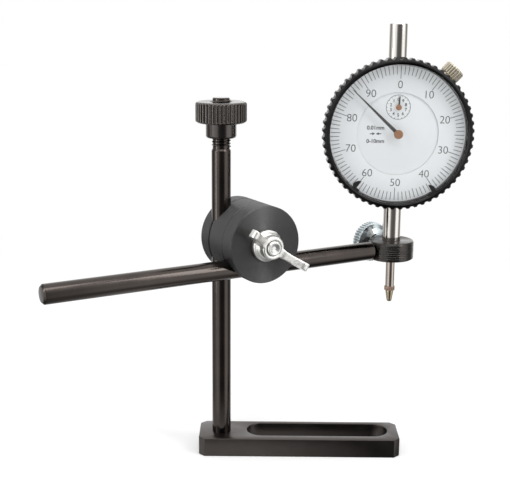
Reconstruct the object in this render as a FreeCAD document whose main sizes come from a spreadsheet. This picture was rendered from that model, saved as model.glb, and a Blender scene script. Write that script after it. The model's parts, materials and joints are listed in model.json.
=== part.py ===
"""Dial gauge on a swivel-clamp stand: a slotted base bar, a post, a two-way rod clamp,
an arm with an eye for the gauge stem, and a 10 mm plunger gauge with its whole movement.

World frame, millimetres: the post stands on the origin, the base bar runs along +X and
lies on Z = 0, and the dial faces -Y.
"""
import FreeCAD, Part
import math
import os
import re

import Sketcher
from FreeCAD import Vector

SIZES = [
    # base bar and post
    ("base_length", 86), ("base_width", 20), ("base_thick", 8), ("base_overhang", 9.5),
    ("base_corner", 2.4), ("base_edge", 0.4),
    ("slot_start", 11), ("slot_end_wall", 4.5), ("slot_width", 13.4), ("slot_shift", 1),
    ("rod_dia", 8), ("rod_chamfer", 0.7), ("spigot_dia", 6), ("spigot_depth", 7),
    ("shank_top", 130.4), ("thread_dia", 7.6), ("thread_top", 151.9),
    ("running_gap", 0.05),
    # knurled nut on top of the post
    ("nut_seat", 135.5), ("nut_collar_dia", 12.1), ("nut_collar_height", 6.5),
    ("nut_head_dia", 21), ("nut_head_height", 8.2), ("nut_edge", 0.9), ("nut_flutes", 40),
    ("flute_depth", 0.5),
    # two-way rod clamp
    ("arm_angle", 30), ("arm_height", 83), ("arm_offset", 12),
    ("bolt_across", 10), ("bolt_rise", 10.4), ("disc_dia", 32), ("rear_disc_thick", 7),
    ("front_disc_thick", 7.5), ("disc_gap", 1), ("disc_edge", 0.3), ("bolt_dia", 6), ("bolt_hole_dia", 6.4),
    ("bolt_head_flats", 10), ("bolt_head_height", 4), ("bolt_end_reach", 7.8),
    # wing nut
    ("wing_base_dia", 13.2), ("wing_base_thick", 2.4), ("wing_barrel_dia", 9.8),
    ("wing_barrel_height", 6.9), ("wing_half_span", 15.4), ("wing_height", 15.5),
    ("wing_thick", 2.6), ("wing_ear", 8.2), ("wing_tilt", -34),
    # arm
    ("arm_back", 82), ("stem_reach", 79), ("eye_dia", 20), ("eye_height", 7.5),
    ("eye_edge", 0.3), ("eye_spigot_depth", 4.2),
    # thumb screw
    ("thumb_dia", 5), ("thumb_neck_dia", 8), ("thumb_head_near", 13.3),
    ("thumb_head_dia", 18), ("thumb_head_thick", 4.2), ("thumb_neck_gap", 0.4),
    ("thumb_flutes", 36),
    # gauge body, depths measured forward from the stem axis
    ("gauge_yaw", 3), ("dial_above_arm", 51.8),
    ("case_dia", 56), ("case_wall", 2.4), ("case_back", -9), ("case_front", 5.8),
    ("ledge_reach", 3.1), ("ledge_thick", 0.7), ("plate_seat", 4.6),
    ("cover_thick", 1.6), ("cover_screw_inset", 3.8), ("boss_dia", 4.4), ("boss_length", 7.5),
    ("cover_screw_dia", 2), ("cover_head_dia", 3.6), ("cover_head_thick", 0.9),
    ("cover_screws", 4), ("cover_screw_length", 5),
    ("stem_bore", 5.2), ("stem_end", -55.3), ("cap_top", 46.4), ("cap_roof", 1.2),
    ("tube_inset", 0.8), ("tube_edge", 0.4), ("bush_edge", 0.1),
    ("lower_bush_length", 10), ("upper_bush_length", 7),
    # bezel and what turns with it
    ("bezel_skirt", 4.5), ("bezel_lip", 1.6), ("bezel_back", 4.3), ("bezel_front", 11.5),
    ("bezel_edge", 0.9), ("bezel_scallops", 60), ("scallop_dia", 2.4), ("scallop_depth", 0.75),
    ("scale_seat", 6), ("scale_thick", 0.5), ("scale_width", 12), ("insert_edge", 0.05),
    ("spacer_wall", 0.4), ("crystal_back", 9.6), ("crystal_thick", 1.2),
    ("snug_gap", 0.05), ("ring_depth", 5.1), ("ring_wire_dia", 0.5),
    ("marker_groove_depth", 0.6), ("marker_groove_back", 10.9), ("marker_groove_wide", 0.34),
    ("marker_thick", 0.26), ("marker_span", 7), ("marker_width", 2.2), ("marker_reach", 4.3),
    ("marker_lip", 0.9), ("marker_left", 218.2), ("marker_right", 148.6),
    ("clamp_screw_angle", 43.5), ("clamp_screw_dia", 3), ("clamp_head_dia", 9.2),
    ("shoe_height", 5), ("clamp_head_thick", 4.8), ("clamp_screw_depth", -2.2),
    ("clamp_flutes", 24), ("shoe_width", 6), ("shoe_gap", 0.1),
    # spindle, rack and contact point
    ("spindle_dia", 4), ("spindle_low", -69.2), ("spindle_headroom", 0.8),
    ("stroke", 10), ("rack_teeth", 24), ("rack_line", 1.45), ("rack_pinion_teeth", 16),
    ("tip_collar_dia", 4.7), ("tip_collar_height", 1.9), ("tip_wide_dia", 3.6),
    ("tip_slim_dia", 2.9), ("tip_length", 7.1), ("tip_spigot_dia", 2.5), ("tip_spigot", 4),
    ("guide_pin_dia", 1.2), ("guide_pin_rest", 8), ("guide_pin_reach", 7),
    ("rail_gap", 1.4), ("rail_thick", 1.4), ("rail_lip", 0.8),
    # movement
    ("gear_module", 0.205), ("gear_teeth", 100), ("pinion_teeth", 10), ("tooth_share", 0.8),
    ("gear_back", 3.3), ("gear_thick", 0.5), ("arbor_dia", 1), ("pivot_gap", 0.02),
    ("rear_plate_front", -4.2), ("plate_thick", 0.8), ("plate_inset", 0.8),
    ("pillar_dia", 2.8), ("pillar_inset", 1.6), ("pillar_bearing", 58), ("screw_head_thick", 0.4),
    ("bridge_back", 2.25), ("bridge_thick", 0.7), ("bridge_post_across", 8),
    ("bridge_post_dia", 2.2), ("bridge_strip", 3.4),
    ("hairspring_coils", 3), ("hairspring_inner", 1.3), ("hairspring_outer", 4.6),
    ("hairspring_strip", 0.12), ("hairspring_height", 0.35), ("hairspring_back", 4),
    ("spring_across", 6.2), ("spring_low", -20), ("spring_dia", 2), ("spring_wire_dia", 0.3),
    ("spring_turns", 8),
    # dial centre and hands
    ("dial_gap", 0.2), ("dial_centre_thick", 0.5), ("hand_back", 8), ("hand_thick", 0.25),
    ("hand_tip_gap", 3.1), ("hand_tail", 1.8), ("hand_wide", 1.5), ("hand_slim", 0.35),
    ("hand_angle", -46.5), ("hub_dia", 4.3), ("hub_front", 8.9), ("hub_edge", 0.2),
    ("counter_back", 6.9), ("counter_thick", 0.2), ("counter_tip", 4.8), ("counter_wide", 0.9),
    ("counter_slim", 0.4), ("counter_hub_dia", 2.4), ("counter_hub_thick", 0.8),
    ("counter_angle", 5),
]

doc = FreeCAD.newDocument("dial_gauge_stand")
sizes = doc.addObject("Spreadsheet::Sheet", "sizes")
for row, (alias, number) in enumerate(SIZES, start=1):
    sizes.set(f"A{row}", alias)
    sizes.set(f"B{row}", str(number))
    sizes.setAlias(f"B{row}", alias)
doc.recompute()

ALIASES = {alias for alias, number in SIZES}
NODES = []


def linked(formula):
    """The formula with each alias read from the sheet."""
    return re.sub(r"[a-z_]+", lambda word: f"sizes.{word[0]}" if word[0] in ALIASES else word[0],
                  str(formula))


def size(alias):
    return float(sizes.get(alias))


def bind(thing, **formulas):
    for name, formula in formulas.items():
        thing.setExpression(name, linked(formula))
    return thing


class Frame:
    """A set of axes turned about the vertical, which pieces are placed in."""

    def __init__(self, x="0", y="0", z="0", yaw="0"):
        self.x, self.y, self.z, self.yaw = x, y, z, yaw

    def at(self, x="0", y="0", z="0", yaw="0", pitch="0", roll="0"):
        east = f"({self.x}) + ({x}) * cos({self.yaw}) - ({y}) * sin({self.yaw})"
        north = f"({self.y}) + ({x}) * sin({self.yaw}) + ({y}) * cos({self.yaw})"
        turn = f"rotation({self.yaw}; 0; 0) * rotation({yaw}; {pitch}; {roll})"
        return f"placement(vector({east}; {north}; ({self.z}) + ({z})); {turn})"


WORLD = Frame()
ARM = Frame(yaw="arm_angle")
GAUGE = Frame("stem_reach * cos(arm_angle) + arm_offset * sin(arm_angle)",
              "stem_reach * sin(arm_angle) - arm_offset * cos(arm_angle)",
              "arm_height + dial_above_arm", "gauge_yaw")
FACE = "90"      # roll that points a piece's own Z axis forward, out of the dial
CLAMP_HEIGHT = "arm_height + bolt_rise"
SLOT_END = "(base_length - base_overhang - slot_end_wall)"
CASE_BORE = "(case_dia - 2 * case_wall)"
LEDGE_BORE = f"({CASE_BORE} - 2 * ledge_reach)"
COVER_SCREW_RADIUS = "(case_dia / 2 - cover_screw_inset)"
WALL_GRIP = f"({CASE_BORE} / 2 - tube_inset)"
BEZEL_DIA = "(case_dia + 2 * bezel_skirt)"
BEZEL_BORE = "(case_dia + 2 * bezel_lip)"
SCALE_INNER_DIA = f"({BEZEL_BORE} - 2 * scale_width)"
CLAMP_HEAD_NEAR = "(case_dia / 2 + shoe_height)"
TIP_END = "(spindle_low - tip_length)"


def place(thing, placement):
    thing.setExpression("Placement", linked(placement))
    return thing


def node(thing, name, placement):
    """Finish a sub-part: its label names its file."""
    place(thing, placement)
    thing.Label = name
    NODES.append(thing)
    return thing


def make(kind, name, placement=None, **formulas):
    thing = bind(doc.addObject(kind, name), **formulas)
    if placement:
        place(thing, placement)
    return thing


def cylinder(name, placement, dia, height):
    return make("Part::Cylinder", name, placement, Radius=f"({dia}) / 2", Height=height)


def box(name, placement, length, width, height):
    return make("Part::Box", name, placement, Length=length, Width=width, Height=height)


def cut(name, base, tools):
    thing = doc.addObject("Part::Cut", name)
    thing.Base = base
    thing.Tool = tools[0] if len(tools) == 1 else fuse(name + "_tools", tools)
    return thing


def fuse(name, pieces):
    thing = doc.addObject("Part::MultiFuse", name)
    thing.Shapes = pieces
    return thing


def group(name, pieces):
    """Identical fasteners kept as separate solids in one sub-part."""
    thing = doc.addObject("Part::Compound", name)
    thing.Links = pieces
    return thing


def new_body(name):
    return doc.addObject("PartDesign::Body", name + "_body")


def plane_of(body, role):
    return next(part for part in body.Origin.OriginFeatures if part.Role == role)


def outline(body, role, corners, offset=None):
    """A closed sketch of straight sides; each corner is a pair of formulas."""
    sketch = body.newObject("Sketcher::SketchObject", body.Name + "_sketch")
    sketch.AttachmentSupport = [(plane_of(body, role), "")]
    sketch.MapMode = "FlatFace"
    if offset:
        bind(sketch, **{"AttachmentOffset.Base.z": offset})
    count = len(corners)
    start = [Vector(math.cos(2 * math.pi * i / count), math.sin(2 * math.pi * i / count), 0)
             for i in range(count)]
    for i in range(count):
        sketch.addGeometry(Part.LineSegment(start[i], start[(i + 1) % count]))
    for i in range(count):
        sketch.addConstraint(Sketcher.Constraint("Coincident", i, 2, (i + 1) % count, 1))
    for i, (across, along) in enumerate(corners):
        for kind, formula, first in (("DistanceX", across, start[i].x),
                                     ("DistanceY", along, start[i].y)):
            index = sketch.addConstraint(Sketcher.Constraint(kind, -1, 1, i, 1, first))
            sketch.setExpression(f"Constraints[{index}]", linked(formula))
    return sketch


def turned(name, corners):
    """A body revolved about its own Z axis from (radius, height) corners."""
    body = new_body(name)
    sketch = outline(body, "XZ_Plane", corners)
    spin = body.newObject("PartDesign::Revolution", name + "_turn")
    spin.Profile = sketch
    spin.ReferenceAxis = (sketch, ["V_Axis"])
    spin.Angle = 360
    spin.Refine = False
    body.Tip = spin
    return body


def padded(name, corners, height, offset=None, midplane=False):
    """A body extruded along Z from (x, y) corners."""
    body = new_body(name)
    sketch = outline(body, "XY_Plane", corners, offset)
    pad = body.newObject("PartDesign::Pad", name + "_pad")
    pad.Profile = sketch
    bind(pad, Length=height)
    pad.Midplane = midplane
    body.Tip = pad
    return body


def rod(name, low, high, dia, edge):
    """A solid bar along Z with both ends chamfered."""
    radius = f"({dia}) / 2"
    return turned(name, [("0", low), (f"{radius} - ({edge})", low), (radius, f"{low} + ({edge})"),
                         (radius, f"{high} - ({edge})"), (f"{radius} - ({edge})", high),
                         ("0", high)])


def sleeve(name, low, high, outer, inner, edge):
    """A tube along Z with its outer edges chamfered."""
    radius, bore = f"({outer}) / 2", f"({inner}) / 2"
    return turned(name, [(bore, low), (f"{radius} - ({edge})", low), (radius, f"{low} + ({edge})"),
                         (radius, f"{high} - ({edge})"), (f"{radius} - ({edge})", high),
                         (bore, high)])


def fluted(body, name, low, high, rim, depth, count):
    """Cut straight V flutes round a turned head, from low to high along Z."""
    half = f"({depth})"
    rim = f"({rim})"
    sketch = outline(body, "XY_Plane", [(f"{rim} - ({depth})", "0"), (f"{rim} + 0.2", f"-{half}"),
                                        (f"{rim} + 0.2", half)], low)
    notch = body.newObject("PartDesign::Pocket", name + "_flute")
    notch.Profile = sketch
    notch.Reversed = True
    bind(notch, Length=f"({high}) - ({low})")
    notch.Refine = False
    body.Tip = notch
    around(body, name, notch, count)


def around(body, name, feature, count):
    """Repeat a feature round the body's Z axis."""
    ring = body.newObject("PartDesign::PolarPattern", name + "_ring")
    ring.Originals = [feature]
    ring.Axis = (plane_of(body, "Z_Axis"), [""])
    ring.Angle = 360
    bind(ring, Occurrences=count)
    ring.Refine = False
    body.Tip = ring


def coded(name, shape, placement):
    """A sub-part whose form comes from a formula, such as a toothed wheel."""
    thing = doc.addObject("Part::Feature", name + "_form")
    thing.Shape = shape
    return node(thing, name, placement)


# --- base bar and post -------------------------------------------------------------------

def base_bar():
    left, right = "-base_overhang", "base_length - base_overhang"
    side, corner = "base_width / 2", "base_corner"
    bar = padded("bar", [(f"{left} + {corner}", f"-{side}"), (f"{right} - {corner}", f"-{side}"),
                         (right, f"-{side} + {corner}"), (right, f"{side} - {corner}"),
                         (f"{right} - {corner}", side), (f"{left} + {corner}", side),
                         (left, f"{side} - {corner}"), (left, f"-{side} + {corner}")],
                 "base_thick")
    near, far = "slot_start + slot_width / 2", f"{SLOT_END} - slot_width / 2"
    ends = [cylinder(f"slot_end_{i}", WORLD.at(x, "slot_shift", "-1"), "slot_width", "base_thick + 2")
            for i, x in enumerate((near, far))]
    middle = box("slot_middle", WORLD.at(near, "slot_shift - slot_width / 2", "-1"),
                 f"{SLOT_END} - slot_start - slot_width", "slot_width", "base_thick + 2")
    socket = cylinder("post_socket", WORLD.at(z="base_thick - spigot_depth - running_gap"),
                      "spigot_dia + 2 * running_gap", "spigot_depth + 1")
    node(cut("bar_cut", bar, ends + [middle, socket]), "base_bar", WORLD.at())


def post():
    shank, thread, spigot = "rod_dia / 2", "thread_dia / 2", "spigot_dia / 2"
    low = "base_thick - spigot_depth"
    body = turned("post", [("0", low), (spigot, low), (spigot, "base_thick"),
                           (shank, "base_thick"), (shank, "shank_top - rod_chamfer"),
                           (f"{shank} - rod_chamfer", "shank_top"), (thread, "shank_top"),
                           (thread, "thread_top - rod_chamfer"),
                           (f"{thread} - rod_chamfer", "thread_top"), ("0", "thread_top")])
    node(body, "post", WORLD.at())


def post_nut():
    bore, collar, head = "thread_dia / 2 + running_gap", "nut_collar_dia / 2", "nut_head_dia / 2"
    under = "nut_collar_height"
    top = "nut_collar_height + nut_head_height"
    body = turned("post_nut", [(bore, "0"), (collar, "0"), (collar, under),
                               (f"{head} - nut_edge", under), (head, f"{under} + nut_edge"),
                               (head, f"{top} - nut_edge"), (f"{head} - nut_edge", top),
                               (bore, top)])
    fluted(body, "post_nut", under, top, head, "flute_depth", "nut_flutes")
    node(body, "post_nut", WORLD.at(z="nut_seat"))


# --- rod clamp ---------------------------------------------------------------------------

def clamp_disc(name, back, front, grooves):
    """A clamp disc between two depths along the bolt, grooved for the rods it grips."""
    blank = sleeve(name, back, front, "disc_dia", "bolt_hole_dia", "disc_edge")
    tools = [cylinder(f"{name}_groove_{i}", placement, "rod_dia + 2 * running_gap", "disc_dia + 2")
             for i, placement in enumerate(grooves)]
    node(cut(name + "_cut", blank, tools), name, ARM.at("bolt_across", "0", CLAMP_HEIGHT, roll=FACE))


def rod_clamp():
    half = "disc_dia / 2 + 1"
    post_groove = WORLD.at("-bolt_across", half, "0", roll="90")
    arm_groove = WORLD.at(f"-({half})", "-bolt_rise", "arm_offset", pitch="90")
    clamp_disc("rear_clamp_disc", "-rear_disc_thick", "-disc_gap / 2", [post_groove])
    clamp_disc("middle_clamp_disc", "disc_gap / 2", "arm_offset", [post_groove, arm_groove])
    clamp_disc("front_clamp_disc", "arm_offset", "arm_offset + front_disc_thick", [arm_groove])


def clamp_bolt():
    head = make("Part::Prism", "bolt_head", WORLD.at(z="-rear_disc_thick - bolt_head_height"),
                Circumradius="bolt_head_flats / 2 / cos(30)", Height="bolt_head_height")
    head.Polygon = 6
    end = "arm_offset + front_disc_thick + bolt_end_reach"
    shank = rod("bolt_shank", "-rear_disc_thick - 1", end, "bolt_dia", "bolt_dia / 12")
    dimple = make("Part::Cone", "bolt_dimple", WORLD.at(z=f"{end} - bolt_dia / 6"), Radius1="0",
                  Radius2="bolt_dia / 4", Height="bolt_dia / 6")
    body = cut("bolt_cut", fuse("bolt_solid", [head, shank]), [dimple])
    node(body, "clamp_bolt", ARM.at("bolt_across", "0", CLAMP_HEIGHT, roll=FACE))


def wing_nut():
    base, barrel = "wing_base_dia / 2", "wing_barrel_dia / 2"
    bore = "bolt_dia / 2 + running_gap"
    core = turned("wing_core", [(bore, "0"), (f"{base} - disc_edge", "0"), (base, "disc_edge"),
                                (base, "wing_base_thick"), (barrel, "wing_base_thick + 2"),
                                (barrel, "wing_barrel_height - disc_edge"),
                                (f"{barrel} - disc_edge", "wing_barrel_height"),
                                (bore, "wing_barrel_height")])
    ears = [wing(i, side) for i, side in enumerate(("0", "180"))]
    hollow = cylinder("wing_bore", WORLD.at(z="-1"), "bolt_dia + 2 * running_gap", "wing_height + 2")
    body = cut("wing_cut", fuse("wing_solid", [core] + ears), [hollow])
    node(body, "wing_nut", ARM.at("bolt_across", "-arm_offset - front_disc_thick", CLAMP_HEIGHT,
                                  pitch="wing_tilt * -1", roll=FACE))


def wing(index, side):
    """One ear: a flat lobe that leaves the barrel and rises forward of it."""
    out, top, ear = "wing_half_span", "wing_height", "wing_ear"
    lobe = padded(f"wing_{index}", [(f"{out} - {ear} / 3", f"{top} - {ear}"),
                                    ("wing_barrel_dia / 2 + 0.4", "wing_base_thick - 0.6"),
                                    ("bolt_dia / 2 + 0.6", "wing_base_thick"),
                                    ("bolt_dia / 2 + 0.6", "wing_barrel_height - 0.6"),
                                    (f"{out} - {ear}", f"{top} - {ear} / 3"),
                                    (f"{out} - {ear} * 2 / 3", top),
                                    (f"{out} - {ear} / 6", top), (out, f"{top} - {ear} / 6"),
                                    (out, f"{top} - {ear} * 3 / 5")],
                  "wing_thick", midplane=True)
    return place(lobe, linked(f"placement(vector(0; 0; 0); rotation({side}; 0; 90))"))


# --- arm -----------------------------------------------------------------------------------

def arm_rod():
    radius, spigot, shoulder = "rod_dia / 2", "spigot_dia / 2", "stem_reach - eye_dia / 2"
    end = f"{shoulder} + eye_spigot_depth"
    body = turned("arm_rod", [("0", "-arm_back"), (f"{radius} - rod_chamfer", "-arm_back"),
                              (radius, "-arm_back + rod_chamfer"),
                              (radius, f"{shoulder} - rod_chamfer"),
                              (f"{radius} - rod_chamfer", shoulder), (spigot, shoulder),
                              (spigot, end), ("0", end)])
    node(body, "arm_rod", ARM.at(y="-arm_offset", z="arm_height", pitch="90"))


def arm_eye():
    ring = sleeve("eye", "-eye_height / 2", "eye_height / 2", "eye_dia",
                  "rod_dia + 2 * running_gap", "eye_edge")
    socket = cylinder("eye_socket", WORLD.at("-eye_dia / 2 - 1", pitch="90"), "spigot_dia",
                      "eye_spigot_depth + 1")
    tapped = cylinder("eye_thread", WORLD.at(y="rod_dia / 4", roll="-90"),
                      "thumb_dia + 2 * running_gap", "eye_dia / 2")
    node(cut("eye_cut", ring, [socket, tapped]), "arm_eye",
         ARM.at("stem_reach", "-arm_offset", "arm_height"))


def thumb_screw():
    """Knurled head with a domed underside that narrows to a neck, screwed in behind the stem."""
    shank, neck, head = "thumb_dia / 2", "thumb_neck_dia / 2", "thumb_head_dia / 2"
    tip, seat = "rod_dia / 2 + running_gap", "eye_dia / 2 + thumb_neck_gap"
    near, far = "thumb_head_near", "thumb_head_near + thumb_head_thick"
    rise = f"(({near}) - ({seat}))"
    body = turned("thumb_screw", [("0", tip), (f"{shank} - disc_edge", tip),
                                  (shank, f"{tip} + disc_edge"), (shank, seat), (neck, seat),
                                  (f"{neck} + ({head} - {neck}) * 0.45", f"{seat} + {rise} * 0.3"),
                                  (f"{neck} + ({head} - {neck}) * 0.8", f"{seat} + {rise} * 0.68"),
                                  (head, near), (head, f"{far} - nut_edge"),
                                  (f"{head} - nut_edge", far), ("0", far)])
    fluted(body, "thumb_screw", near, far, head, "flute_depth", "thumb_flutes")
    node(body, "thumb_screw", ARM.at("stem_reach", "-arm_offset", "arm_height", roll="-90"))


# --- gauge case ----------------------------------------------------------------------------

def on_circle(radius, degrees):
    """Formulas for a point on a circle, degrees counted clockwise from the top."""
    return f"({radius}) * sin({degrees})", f"({radius}) * cos({degrees})"


def cover_screw_spots():
    return [on_circle(COVER_SCREW_RADIUS, f"{360 * i / size('cover_screws')} + 45")
            for i in range(int(size("cover_screws")))]


def gauge_case():
    outer, inner, ledge = "case_dia / 2", f"{CASE_BORE} / 2", f"{LEDGE_BORE} / 2"
    groove = "(ring_wire_dia + 2 * running_gap)"
    wall = turned("case_wall_ring", [(inner, "case_back"), (outer, "case_back"),
                                     (outer, f"ring_depth - {groove} / 2"),
                                     (f"{outer} - {groove} / 2", f"ring_depth - {groove} / 2"),
                                     (f"{outer} - {groove} / 2", f"ring_depth + {groove} / 2"),
                                     (outer, f"ring_depth + {groove} / 2"), (outer, "case_front"),
                                     (inner, "case_front"), (inner, "plate_seat"),
                                     (ledge, "plate_seat"), (ledge, "plate_seat - ledge_thick"),
                                     (inner, "plate_seat - ledge_thick")])
    bosses = [cylinder(f"case_boss_{i}", WORLD.at(x, y, "case_back"), "boss_dia", "boss_length")
              for i, (x, y) in enumerate(cover_screw_spots())]
    threads = [cylinder(f"case_thread_{i}", WORLD.at(x, y, "case_back - 1"), "cover_screw_dia",
                        "cover_screw_length + 1.2") for i, (x, y) in enumerate(cover_screw_spots())]
    stem_holes = [cylinder("case_stem_hole", WORLD.at(y="-case_dia", roll="-90"), "rod_dia",
                           "2 * case_dia")]
    across, up = on_circle(f"{LEDGE_BORE} / 2", "clamp_screw_angle")
    screw_hole = cylinder("case_clamp_hole",
                          WORLD.at(across, up, "clamp_screw_depth", yaw="-clamp_screw_angle", roll="-90"),
                          "clamp_screw_dia + 2 * running_gap", "case_dia / 4")
    body = cut("case_cut", fuse("case_solid", [wall] + bosses), threads + stem_holes + [screw_hole])
    node(body, "gauge_case", GAUGE.at(roll=FACE))


def back_cover():
    outer = "case_dia / 2"
    disc = turned("cover", [("0", "case_back - cover_thick"),
                            (f"{outer} - nut_edge", "case_back - cover_thick"),
                            (outer, "case_back - cover_thick + nut_edge"), (outer, "case_back"),
                            ("0", "case_back")])
    holes = []
    for i, (x, y) in enumerate(cover_screw_spots()):
        holes.append(cylinder(f"cover_hole_{i}", WORLD.at(x, y, "case_back - cover_thick - 1"),
                              "cover_screw_dia + 2 * running_gap", "cover_thick + 2"))
        holes.append(cylinder(f"cover_sink_{i}", WORLD.at(x, y, "case_back - cover_thick - 1"),
                              "cover_head_dia + 4 * running_gap", "cover_head_thick + 1"))
    node(cut("cover_cut", disc, holes), "back_cover", GAUGE.at(roll=FACE))
    node(group("cover_screws_set", [cover_screw(i, x, y)
                                    for i, (x, y) in enumerate(cover_screw_spots())]),
         "back_cover_screws", GAUGE.at(roll=FACE))


def cover_screw(index, x, y):
    """A slotted cheese-head screw sunk flush into the cover."""
    low, under = "case_back - cover_thick", "case_back - cover_thick + cover_head_thick"
    head, shank = "cover_head_dia / 2", "cover_screw_dia / 2"
    body = turned(f"cover_screw_{index}", [("0", low), (head, low), (head, under), (shank, under),
                                           (shank, f"{under} + cover_screw_length"),
                                           ("0", f"{under} + cover_screw_length")])
    slot = box(f"cover_slot_{index}", WORLD.at("-cover_head_dia", "-cover_head_thick / 4",
                                               f"{low} - 1"),
               "2 * cover_head_dia", "cover_head_thick / 2", "cover_head_thick / 2 + 1")
    return place(cut(f"cover_screw_cut_{index}", body, [slot]), WORLD.at(x, y))


def stem():
    body = sleeve("stem", "stem_end", f"-{WALL_GRIP}", "rod_dia", "stem_bore", "tube_edge")
    node(body, "stem", GAUGE.at())
    bush = sleeve("lower_bush", "stem_end", "stem_end + lower_bush_length", "stem_bore",
                  "spindle_dia + 2 * running_gap", "bush_edge")
    node(bush, "lower_bush", GAUGE.at())


def spindle_cap():
    """Closed tube on top of the case that covers the spindle's upper end."""
    radius, bore = "rod_dia / 2", "stem_bore / 2"
    body = turned("spindle_cap", [(bore, WALL_GRIP), (radius, WALL_GRIP),
                                  (radius, "cap_top - tube_edge"),
                                  (f"{radius} - tube_edge", "cap_top"), ("0", "cap_top"),
                                  ("0", "cap_top - cap_roof"), (bore, "cap_top - cap_roof")])
    node(body, "spindle_cap", GAUGE.at())
    bush = sleeve("upper_bush", WALL_GRIP, f"{WALL_GRIP} + upper_bush_length", "stem_bore",
                  "spindle_dia + 2 * running_gap", "bush_edge")
    node(bush, "upper_bush", GAUGE.at())


# --- bezel and what turns with it ------------------------------------------------------------

def bezel():
    outer, bore = f"{BEZEL_DIA} / 2", f"{BEZEL_BORE} / 2"
    neck = "case_dia / 2 + running_gap"
    wire = "(ring_wire_dia + 2 * running_gap)"
    rail_back, rail_front = "marker_groove_back", "marker_groove_back + marker_groove_wide"
    body = turned("bezel", [(neck, "bezel_back"), (f"{outer} - bezel_edge", "bezel_back"),
                            (outer, "bezel_back + bezel_edge"), (outer, "bezel_front - bezel_edge"),
                            (f"{outer} - bezel_edge", "bezel_front"), (bore, "bezel_front"),
                            (bore, rail_front), (f"{bore} + marker_groove_depth", rail_front),
                            (f"{bore} + marker_groove_depth", rail_back), (bore, rail_back),
                            (bore, "scale_seat"), (neck, "scale_seat"),
                            (neck, f"ring_depth + {wire} / 2"),
                            (f"{neck} + {wire} / 2", f"ring_depth + {wire} / 2"),
                            (f"{neck} + {wire} / 2", f"ring_depth - {wire} / 2"),
                            (neck, f"ring_depth - {wire} / 2")])
    scalloped(body)
    node(body, "bezel", GAUGE.at(roll=FACE))


def scalloped(body):
    """Round finger notches all along the bezel's rim."""
    sketch = body.newObject("Sketcher::SketchObject", "scallop_sketch")
    sketch.AttachmentSupport = [(plane_of(body, "XY_Plane"), "")]
    sketch.MapMode = "FlatFace"
    bind(sketch, **{"AttachmentOffset.Base.z": "bezel_back"})
    rim = size("case_dia") / 2 + size("bezel_skirt")
    sketch.addGeometry(Part.Circle(Vector(rim, 0, 0), Vector(0, 0, 1), 1))
    for constraint, formula in (
            (Sketcher.Constraint("Radius", 0, 1), "scallop_dia / 2"),
            (Sketcher.Constraint("DistanceX", -1, 1, 0, 3, rim),
             f"{BEZEL_DIA} / 2 + scallop_dia / 2 - scallop_depth")):
        index = sketch.addConstraint(constraint)
        sketch.setExpression(f"Constraints[{index}]", linked(formula))
    sketch.addConstraint(Sketcher.Constraint("PointOnObject", 0, 3, -1))
    notch = body.newObject("PartDesign::Pocket", "scallop")
    notch.Profile = sketch
    notch.Reversed = True
    bind(notch, Length="bezel_front - bezel_back")
    notch.Refine = False
    body.Tip = notch
    around(body, "scallops", notch, "bezel_scallops")


def bezel_inserts():
    bore = f"({BEZEL_BORE} - 2 * snug_gap)"
    scale = sleeve("scale", "scale_seat", "scale_seat + scale_thick", bore, SCALE_INNER_DIA,
                   "insert_edge")
    node(scale, "scale_ring", GAUGE.at(roll=FACE))
    spacer = sleeve("spacer", "scale_seat + scale_thick", "crystal_back", bore,
                    f"{bore} - 2 * spacer_wall", "insert_edge")
    node(spacer, "crystal_spacer", GAUGE.at(roll=FACE))
    crystal = rod("crystal", "crystal_back", "crystal_back + crystal_thick", bore,
                  "2 * insert_edge")
    node(crystal, "crystal", GAUGE.at(roll=FACE))


def retaining_ring():
    """Wire ring that keeps the bezel on the case neck."""
    middle = "case_dia / 2 + running_gap / 2"
    ring = make("Part::Torus", "wire_ring", Radius1=middle, Radius2="ring_wire_dia / 2")
    gap = box("wire_gap", WORLD.at(y="-ring_wire_dia * 3", z="-ring_wire_dia"), "case_dia",
              "ring_wire_dia * 6", "ring_wire_dia * 2")
    node(cut("wire_cut", ring, [gap]), "bezel_retaining_ring",
         GAUGE.at(y="-ring_depth", roll=FACE))


def marker(name, angle, side):
    """A tolerance pointer: a foot in the bezel's groove and a fin over the scale. The fin has a
    straight pointing edge and a round back on the given side."""
    rim = f"{BEZEL_BORE} / 2 + marker_groove_depth - running_gap"
    lip, tip = f"({BEZEL_BORE} / 2 - marker_lip)", f"({BEZEL_BORE} / 2 - marker_reach)"
    half = size("marker_span") / 2
    foot = [on_circle(rim, f"{half * k / 2}") for k in (-2, -1, 0, 1, 2)]
    back = [(f"{side} * marker_width * sin({turn})", f"{lip} - ({lip} - {tip}) * cos({turn})")
            for turn in (90, 60, 30)]
    fin = [(across, along) for across, along in back] + [("0", tip), ("0", lip)]
    if side < 0:
        fin.reverse()
    corners = foot + [on_circle(lip, f"{half}")] + fin + [on_circle(lip, f"-{half}")]
    body = padded(name, corners, "marker_thick")
    depth = "-marker_groove_back - (marker_groove_wide - marker_thick) / 2"
    node(body, name, GAUGE.at(y=depth, pitch=angle, roll=FACE))


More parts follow.
